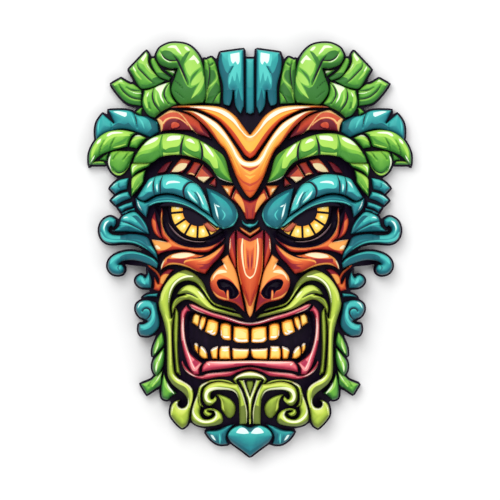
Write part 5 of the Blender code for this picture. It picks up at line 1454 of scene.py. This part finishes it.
# The beard at each side of the jaw: a twisted rope of small green leaves that ends in a
# drop and a pointed leaf turned outwards.
carve_piece("jaw_leaves", leaf_paint, [
    dict(lift=9, crown=6, rim=0.8,
        outline=[(88, -81), (86, -87), (85.7, -94.5), (91.5, -102), (95.5, -106), (98, -106),
          (97.5, -98), (93, -87.5)],
        shade=[[(87, -83, 0.8), (86, -91, 1.6), (90, -98, 1)]],
        lit=[[(92, -88, 0.3), (92.5, -95, 1.3), (95.5, -103, 0.6)]],
        painted_highlight=[[(91.2, -91, 0.2), (92.7, -97, 0.5), (95.2, -103, 0.3)]]),
    dict(lift=12, crown=7, rim=0.8,
        outline=[(85.4, -96.5), (85.2, -108), (87.5, -118), (93.5, -127.2), (97.5, -121),
          (97.7, -113), (93.5, -106)],
        shade=[[(86.5, -100, 0.5), (86.7, -112, 1.5), (92, -123, 1)], [(92, -127, 0.4),
          (89, -119, 0.8)]],
        lit=[[(88.5, -102, 0.4), (92, -111, 1.8), (94, -120, 0.8)]],
        painted_highlight=[[(88.2, -102, 0.3), (90, -107.5, 0.8), (91.8, -112, 0.3)], [(92.5, -112, 0.4),
          (93.8, -117, 0.8), (94, -122, 0.3)]]),
    dict(lift=7, crown=5, rim=0.8,
        outline=[(86.7, -119), (92.5, -124), (96.5, -127.5), (100, -130.5), (110, -134.5),
          (103.5, -145.3), (95, -139.5), (88.8, -135), (88, -127)],
        crease=[[(97.5, -129.5, 0.2), (100.5, -133.5, 0.4), (101.7, -137.5, 0.2)]],
        shade=[[(89.5, -130, 0.5), (94, -136, 1.4), (100, -141, 0.8)]],
        lit=[[(88, -122, 0.3), (91.5, -128.5, 0.8), (98, -136.5, 0.8)]],
        painted_highlight=[[(88.7, -123, 0.2), (92.2, -128.5, 0.5), (96.5, -134, 0.2)]]),
    dict(lift=10, crown=6, rim=0.8,
        outline=[(86.2, -121), (84, -128), (80, -136), (72.7, -143.8), (78, -146.5), (82, -150.3),
          (86.5, -149.8), (89.2, -146), (89, -134)],
        shade=[[(83.5, -129, 0.3), (79, -138, 1.3), (74, -143.5, 0.8)]],
        lit=[[(86, -126, 0.3), (84, -136, 1.3), (79.5, -142, 0.8)]],
        painted_highlight=[[(83.2, -131.5, 0.3), (81.2, -137.5, 1), (76.5, -143.5, 0.5)]]),
])


# The cheek scrolls: waves of hair that curl out past the edge of the face, one above the
# other, each ending in a tight spiral. They are cut right through the board's edge.
carve_piece("cheek_scrolls", teal_paint, [
    dict(lift=9, crown=6, rim=0.8,
        outline=[(130.7, 29.5), (127.5, 34.5), (120, 38), (114.5, 38.2), (108, 32.5), (102.5, 24),
          (100, 15), (110, 17), (122, 18), (138, 18), (139.7, 21), (136.5, 20), (132, 24)],
        crease=[[(130.2, 28.7, 0.3), (122, 26.7, 0.6), (112, 21.8, 0.5), (101, 15, 0.3)]],
        shade=[[(120, 33.5), (114, 34.5), (109, 30), (104, 22), (101, 15.5), (107, 22),
          (113, 29)], [(132, 21.7, 0.3), (122, 22.4, 1.1), (112, 19.2, 0.9), (106, 17.2, 0.3)]],
        lit=[[(126, 31.5, 0.8), (120, 32.2, 2), (114, 28.5, 1)], [(131.5, 25.5, 0.3),
          (126, 26, 0.8), (120, 24.5, 0.4)]],
        painted_highlight=[[(127.5, 31.6, 0.3), (124.5, 32.8, 0.7), (122.2, 32.5, 0.3)]]),
    dict(lift=12, crown=8, rim=0.8,
        outline=[(91.4, -12), (97, -5.5), (103, -0.5), (110, 3.7), (118, 6.3), (128, 6.7),
          (140, 6), (147, 9), (150.7, 15), (151.3, 22), (148.5, 29), (143, 33), (138.5, 33.4),
          (134, 30.7), (134.2, 26), (137.2, 22), (139, 24), (141.2, 22.4), (141.3, 19), (138, 16),
          (130, 15.2), (120, 16.4), (110, 15.5), (102, 12.5), (98, 5), (93, -3)],
        shade=[[(130, 14.8), (118, 16), (109, 15), (102, 12), (98.5, 4), (102, 4), (110, 9.5),
          (120, 10.7), (130, 10.3)], [(137.5, 23, 0.4), (139.5, 21.5, 0.6),
          (140, 19, 0.4)], [(100, 1, 0.4), (95, -5, 1), (92, -10, 0.6)]],
        lit=[[(149.5, 18, 0.5), (146, 11.5, 1.4), (138, 9, 1.2), (126, 9, 0.9), (114, 7.2, 0.7),
          (103, 1, 0.4)], [(144, 28, 0.5), (146.7, 22, 1.1), (144.5, 16, 0.6)]],
        painted_highlight=[[(141.2, 29.5, 0.3), (144.5, 27, 0.9), (146.3, 22, 0.6), (145.5, 18, 0.2)]]),
    dict(lift=14, crown=8, rim=0.8,
        outline=[(92.5, -19), (100, -15.5), (108, -12.3), (116, -10.5), (123.5, -10.6),
          (128.5, -12), (131.2, -14.3), (128.2, -14.3), (125.7, -18.5), (127, -23), (131.5, -25.3),
          (138.5, -23.8), (142.8, -18), (142, -11), (137, -5.5), (129, -2), (119, -0.8),
          (109, -2.6), (100, -6.2), (95, -9), (91.2, -13.5)],
        shade=[[(130.5, -7), (126, -4.5), (117, -3.5), (107, -5.5), (99, -9), (92, -15),
          (93, -18.8), (101, -15.5), (109, -12), (118, -10), (125, -10),
          (129.5, -11.2)], [(137, -23, 0.4), (132, -24.3, 1.1),
          (127.5, -22.5, 0.9)], [(131, -15, 0.3), (132.3, -18, 0.7), (130.5, -21, 0.4)]],
        lit=[[(140, -14, 0.4), (137, -8.5, 1.8), (132, -5.5, 1.2)], [(135, -3.5, 0.2),
          (126, -1.9, 0.5), (116, -1.6, 0.6), (105, -5, 0.5), (97, -9, 0.2)]]),
    dict(lift=10, crown=9, rim=0.8,
        outline=[(103, -19), (100, -24), (98, -31), (98.5, -38.2), (108, -38), (113, -35),
          (115, -31), (113.5, -27), (110, -24.6), (106.5, -25.8), (105, -27.6), (102.7, -24)],
        shade=[[(100.5, -26, 0.6), (99.5, -32, 1.3), (101, -36.5, 0.8)], [(111, -36, 0.3),
          (106, -37.2, 0.8), (101, -37, 0.4)], [(104.7, -28, 0.3), (105.2, -31, 0.5)]],
        lit=[[(108, -27.5, 0.6), (107, -31, 1.6), (105, -34, 0.6)], [(102.5, -22, 0.2),
          (102.2, -25, 0.5), (104, -28, 0.2)]]),
    dict(lift=6, crown=3, rim=0.6,
        outline=[(108.2, -47.8), (102.5, -44.3), (92, -43), (92.2, -47.5), (100.5, -47.2)]),
    dict(lift=13, crown=8, rim=0.8,
        outline=[(93.2, -52.5), (91.7, -62), (90.2, -70), (90.7, -77), (95.5, -83), (102, -86.3),
          (110, -85.7), (112, -81), (111.5, -74.2), (106.5, -73.8), (102.5, -71.5), (106, -69.3),
          (111, -66.8), (114.5, -61), (114, -54.8), (109, -50.8), (102, -50)],
        crease=[[(107.7, -61.5, 0.5), (106.4, -59.2, 0.6), (103.4, -58.2, 0.7),
          (100.4, -59.7, 0.8), (99.4, -63, 0.8), (101, -66.8, 0.7), (103.7, -69.3, 0.5)]],
        shade=[[(100.5, -51), (93.5, -52.5), (91.5, -62), (90, -71), (91, -78), (96, -83.5),
          (103, -87), (111, -86), (112, -81), (106, -80), (100, -77.5), (95.5, -72), (94.5, -65),
          (96, -57)], [(111, -64.5, 0.3), (107, -67.2, 0.9), (103.5, -66, 0.7),
          (102.2, -62.5, 0.4)]],
        lit=[[(112.5, -59, 0.4), (110.5, -54.5, 1.1), (105, -52, 1)], [(98, -55.5, 0.6),
          (96.5, -63, 1.2), (98, -70, 1.2), (103, -75.5, 1.1), (109, -77.5, 0.8)]],
        painted_highlight=[[(112, -57.5, 0.4), (110, -53.8, 0.7), (106.7, -52, 0.3)]]),
])


# The chin: a pair of lime scrolls hung from a band under the lip, joined by a double
# stem down the middle, with a plain leaf inside each scroll.
carve_piece("chin_scrolls", lime_paint, [
    dict(lift=9, crown=3, rim=0.45, base=0.3,
        outline=[(50.4, -136), (45, -132.3), (38, -130), (28, -129.4), (20, -131), (13.5, -135.5),
          (22, -132.8), (31, -131.2), (39, -132.6), (45, -136), (48, -140), (49.2, -148),
          (48.5, -154), (45.5, -158), (49.2, -157), (49.7, -160.5), (54, -154), (53, -144)],
        painted_highlight=[[(50.2, -137, 0.65), (46, -134, 0.85), (41, -131.8, 0.2)]]),
    dict(lift=11, crown=4, rim=0.45, centre=True,
        outline=[(0, -120.9), (7, -122.3), (13.5, -125.5), (17, -129), (16.2, -131.5),
          (12.7, -134.5), (13.2, -130), (10, -128.8), (0, -128.4)],
        painted_highlight=[[(14.7, -129.5, 0.3), (12, -126.3, 0.95), (6.5, -124.3, 1.25), (0, -123.8, 1.35)]],
        shade=[[(9, -127.3, 0.3), (0, -126.7, 0.6)]]),
    dict(lift=13, crown=8, rim=0.45,
        outline=[(3, -174.6), (2.6, -162), (4.5, -152), (7.8, -141.5), (12, -134), (19, -133.5),
          (30, -131.5), (39, -133.3), (45.5, -137.8), (47.7, -144), (47, -151), (43.5, -155.5),
          (39, -155.8), (34, -151.5), (32.7, -148.5), (34.5, -146), (37.5, -149), (38.7, -149),
          (39.5, -146), (38, -142.2), (32, -140.2), (21, -140.5), (15.5, -142.5), (12.5, -147),
          (11.2, -154), (10.8, -175)],
        shade=[[(10.5, -157), (6.5, -155), (3.2, -158), (3, -174.6),
          (10.7, -175)], [(46, -150, 0.3), (43, -154.2, 0.9), (38.5, -154.3, 0.6)]],
        lit=[[(43, -135.8, 0.4), (36, -134, 1), (26, -134.3, 1),
          (18, -136.5, 0.6)], [(36.5, -147.8, 0.4), (34.4, -150, 0.7), (38, -153, 0.5)]],
        painted_highlight=[[(38.5, -152.3, 0.3), (42.7, -150.5, 1.05), (44.2, -146, 1.35), (42, -141, 1.55),
          (36, -138.5, 1.45), (28, -138.4, 1.15), (19, -139.5, 0.85), (13.7, -143.3, 0.75),
          (11.6, -150, 0.2)], [(11.7, -135, 0.3), (8, -142.5, 1.05), (5, -151.5, 1.05),
          (3.3, -160, 0.85), (3, -173, 0.65)]]),
    dict(lift=16, crown=8, rim=0.45,
        outline=[(50.7, -138), (51.3, -144), (50.5, -152), (49.2, -157.5), (49.8, -163),
          (47.5, -168.3), (43.5, -169.6), (38, -168), (35, -164.8), (36, -161.6), (39, -160.6),
          (42.5, -161), (40.5, -162.5), (37.7, -163.2), (38.7, -165.6), (42, -166.9),
          (45.2, -165.6), (47, -163), (46, -160), (42, -158.4), (36.5, -158.6), (31, -161.3),
          (27.4, -166), (27, -171.5), (30, -174.6), (38, -176.6), (47, -177), (54, -175.2),
          (58.7, -171), (59.4, -164), (57, -155), (53, -144)],
        shade=[[(57.7, -168), (53, -172.5), (46, -174), (37, -172.8), (30, -168), (27, -171.5),
          (30, -175), (38, -177), (47, -177.4), (54, -175.5)]],
        lit=[[(52.7, -146, 0.4), (54.7, -154, 1.2), (55.5, -160, 0.6)], [(32.5, -162.5, 0.5),
          (31.2, -166, 1.2), (33.5, -169.5, 0.6)], [(45.5, -161.3, 0.3), (46.2, -163.5, 0.5),
          (44, -166, 0.4)]],
        painted_highlight=[[(51.2, -142, 0.2), (53.8, -149, 0.65), (56.6, -157, 0.75), (56.7, -163, 1.05),
          (53.5, -168, 1.15), (48.5, -171.2, 1.15), (42, -171.8, 1.05), (36.5, -170, 0.95),
          (33.6, -166, 0.95), (34.7, -162.3, 0.85), (38.5, -160.9, 0.85), (41.7, -161.2, 0.3)]]),
    dict(lift=7, crown=4, rim=0.45, base=-0.3,
        outline=[(34, -144.5), (30, -144.5), (22, -147.5), (16.5, -152), (14, -158), (15.5, -165),
          (19, -168.7), (22.5, -168), (26.5, -163.5), (29.2, -158.5), (29.7, -151)],
        lit=[[(32.5, -145.3, 0.2), (29.2, -148.5, 0.6), (27.8, -153.5, 0.9), (27, -158.5, 0.9),
          (25.5, -161.5, 0.3)]]),
    dict(lift=9, crown=2, rim=0.2, centre=True,
        outline=[(0, -146.5), (2, -141.5), (4.2, -135.5), (5.9, -129.9), (12, -129.9), (7, -138.5),
          (3.5, -148.5), (1.7, -159), (1.1, -174.5), (0, -174.5)],
        lit=[[(0.7, -148, 0.4), (0.5, -158, 0.6), (0.4, -174, 0.6)], [(8.5, -133, 0.2),
          (5.5, -139, 0.6), (2.7, -146, 0.5)]],
        painted_highlight=[[(6.6, -130.5, 0.65), (4.8, -136, 0.85), (2.6, -142.5, 0.85), (1, -148, 0.65),
          (0.1, -154, 0.3)]]),
    dict(lift=5, crown=1, rim=0.1, centre=True, base=-0.35, fade=((0, -131), (0, -145), -0.5),
        outline=[(0, -130.6), (3, -130.8), (3.3, -134), (2, -139), (0, -145)]),
])


# The heart at the foot of the chin, and the small leaf that shows at each side of it. The
# heart is a smooth pillow with two painted highlights near its top, and lines of painted
# shade low on it and in the dip at its top.
carve_piece("heart", teal_paint, [
    dict(lift=15, crown=7, rim=0.8, centre=True, fade=((0, -180), (0, -206), 0.05),
        outline=[(0, -177.3), (5.5, -175.6), (11, -175.3), (18, -178.5), (22.3, -184),
          (22.3, -188), (18.5, -193.5), (9, -200.5), (0, -207.5)],
        shade=[[(20, -188.3, 0.2), (14, -193.6, 0.9), (6.5, -198.6, 1),
          (0, -202.8, 1.2)], [(8, -176.5, 0.3), (3.5, -178, 1.2), (0, -180.3, 1.8)]],
        lit=[[(21.2, -186, 0.3), (19.2, -181.8, 0.7), (14.5, -178, 0.6)]],
        painted_highlight=[[(14.2, -182.8), (11, -178.9), (7.7, -177.7), (4, -179.2), (0.8, -183.4), (6, -184),
          (11, -183.5)]]),
    dict(lift=7, crown=4, rim=0.8, base=-0.15,
        outline=[(44.7, -183), (42, -181), (33, -179.8), (23, -176), (14, -173.6), (20.5, -180.5),
          (23.7, -187), (23, -192), (21.7, -195), (31, -195.3), (39, -190.5)],
        shade=[[(34.5, -184, 0.2), (33, -189, 0.6), (31.5, -193.5, 0.3)], [(27.5, -184, 0.6),
          (26.5, -190, 1.3), (25, -194, 0.8)], [(42, -181.8, 0.4), (33, -181, 0.9),
          (24, -178, 0.6)]],
        lit=[[(30.5, -184, 0.4), (30.2, -189, 0.9), (30.2, -194, 0.4)]],
        painted_highlight=[[(39.8, -185.2), (37.2, -185.8), (35.2, -189), (33.8, -192), (37.5, -189)]]),
])


# The board itself is cut last: its edge follows everything that is carved on it, with a
# narrow dark border, and its back is scooped out and left as bare wood.
carve_board()


# The stand-in studio: a pale floor and soft lights, with the camera straight above.
FLOOR_REACH = 4.0
FLOOR_PAINT = (0.9, 0.9, 0.9, 1.0)
SKY_STRENGTH = 0.75
CAMERA_HEIGHT = 8.0
CAMERA_RANGE = 40.0
PHOTO_SQUARES = 500.0
CAMERA_SENSOR = 36.0
FACE_LEVEL = 0.05
LIGHTS = (
    ("key", (-0.4, 0.9, 2.4), 1.2, 30.0),
    ("fill", (1.0, -0.8, 2.4), 1.6, 10.0),
)

floor_paint, _, floor_shader = new_material("pale_floor", roughness=0.8)
floor_shader.inputs["Base Color"].default_value = FLOOR_PAINT
corners = ((-1, -1), (1, -1), (1, 1), (-1, 1))
corners = [(x * FLOOR_REACH, y * FLOOR_REACH, 0.0) for x, y in corners]
floor = plain_piece("floor", corners, [(0, 1, 2, 3)], [floor_paint])

world = bpy.data.worlds.new("studio")
bpy.context.scene.world = world
world.use_nodes = True
sky = {"Color": (1.0, 1.0, 1.0, 1.0), "Strength": SKY_STRENGTH}
feed(world.node_tree, world.node_tree.nodes["Background"], sky)
for name, place, size, power in LIGHTS:
    lamp = bpy.data.lights.new(name, "AREA")
    lamp.size = size
    lamp.energy = power
    hung = new_object(name, lamp)
    hung.location = place
    hung.rotation_euler = (-Vector(place)).to_track_quat("-Z", "Y").to_euler()

camera = bpy.data.cameras.new("camera")
camera.sensor_width = CAMERA_SENSOR
camera.lens = CAMERA_SENSOR * (CAMERA_HEIGHT - FACE_LEVEL) / (PHOTO_SQUARES * SQUARE)
camera.clip_end = CAMERA_RANGE
camera_object = new_object("camera", camera)
camera_object.location = (0.0, 0.0, CAMERA_HEIGHT)
bpy.context.scene.camera = camera_object
bpy.context.scene.view_settings.view_transform = "Standard"
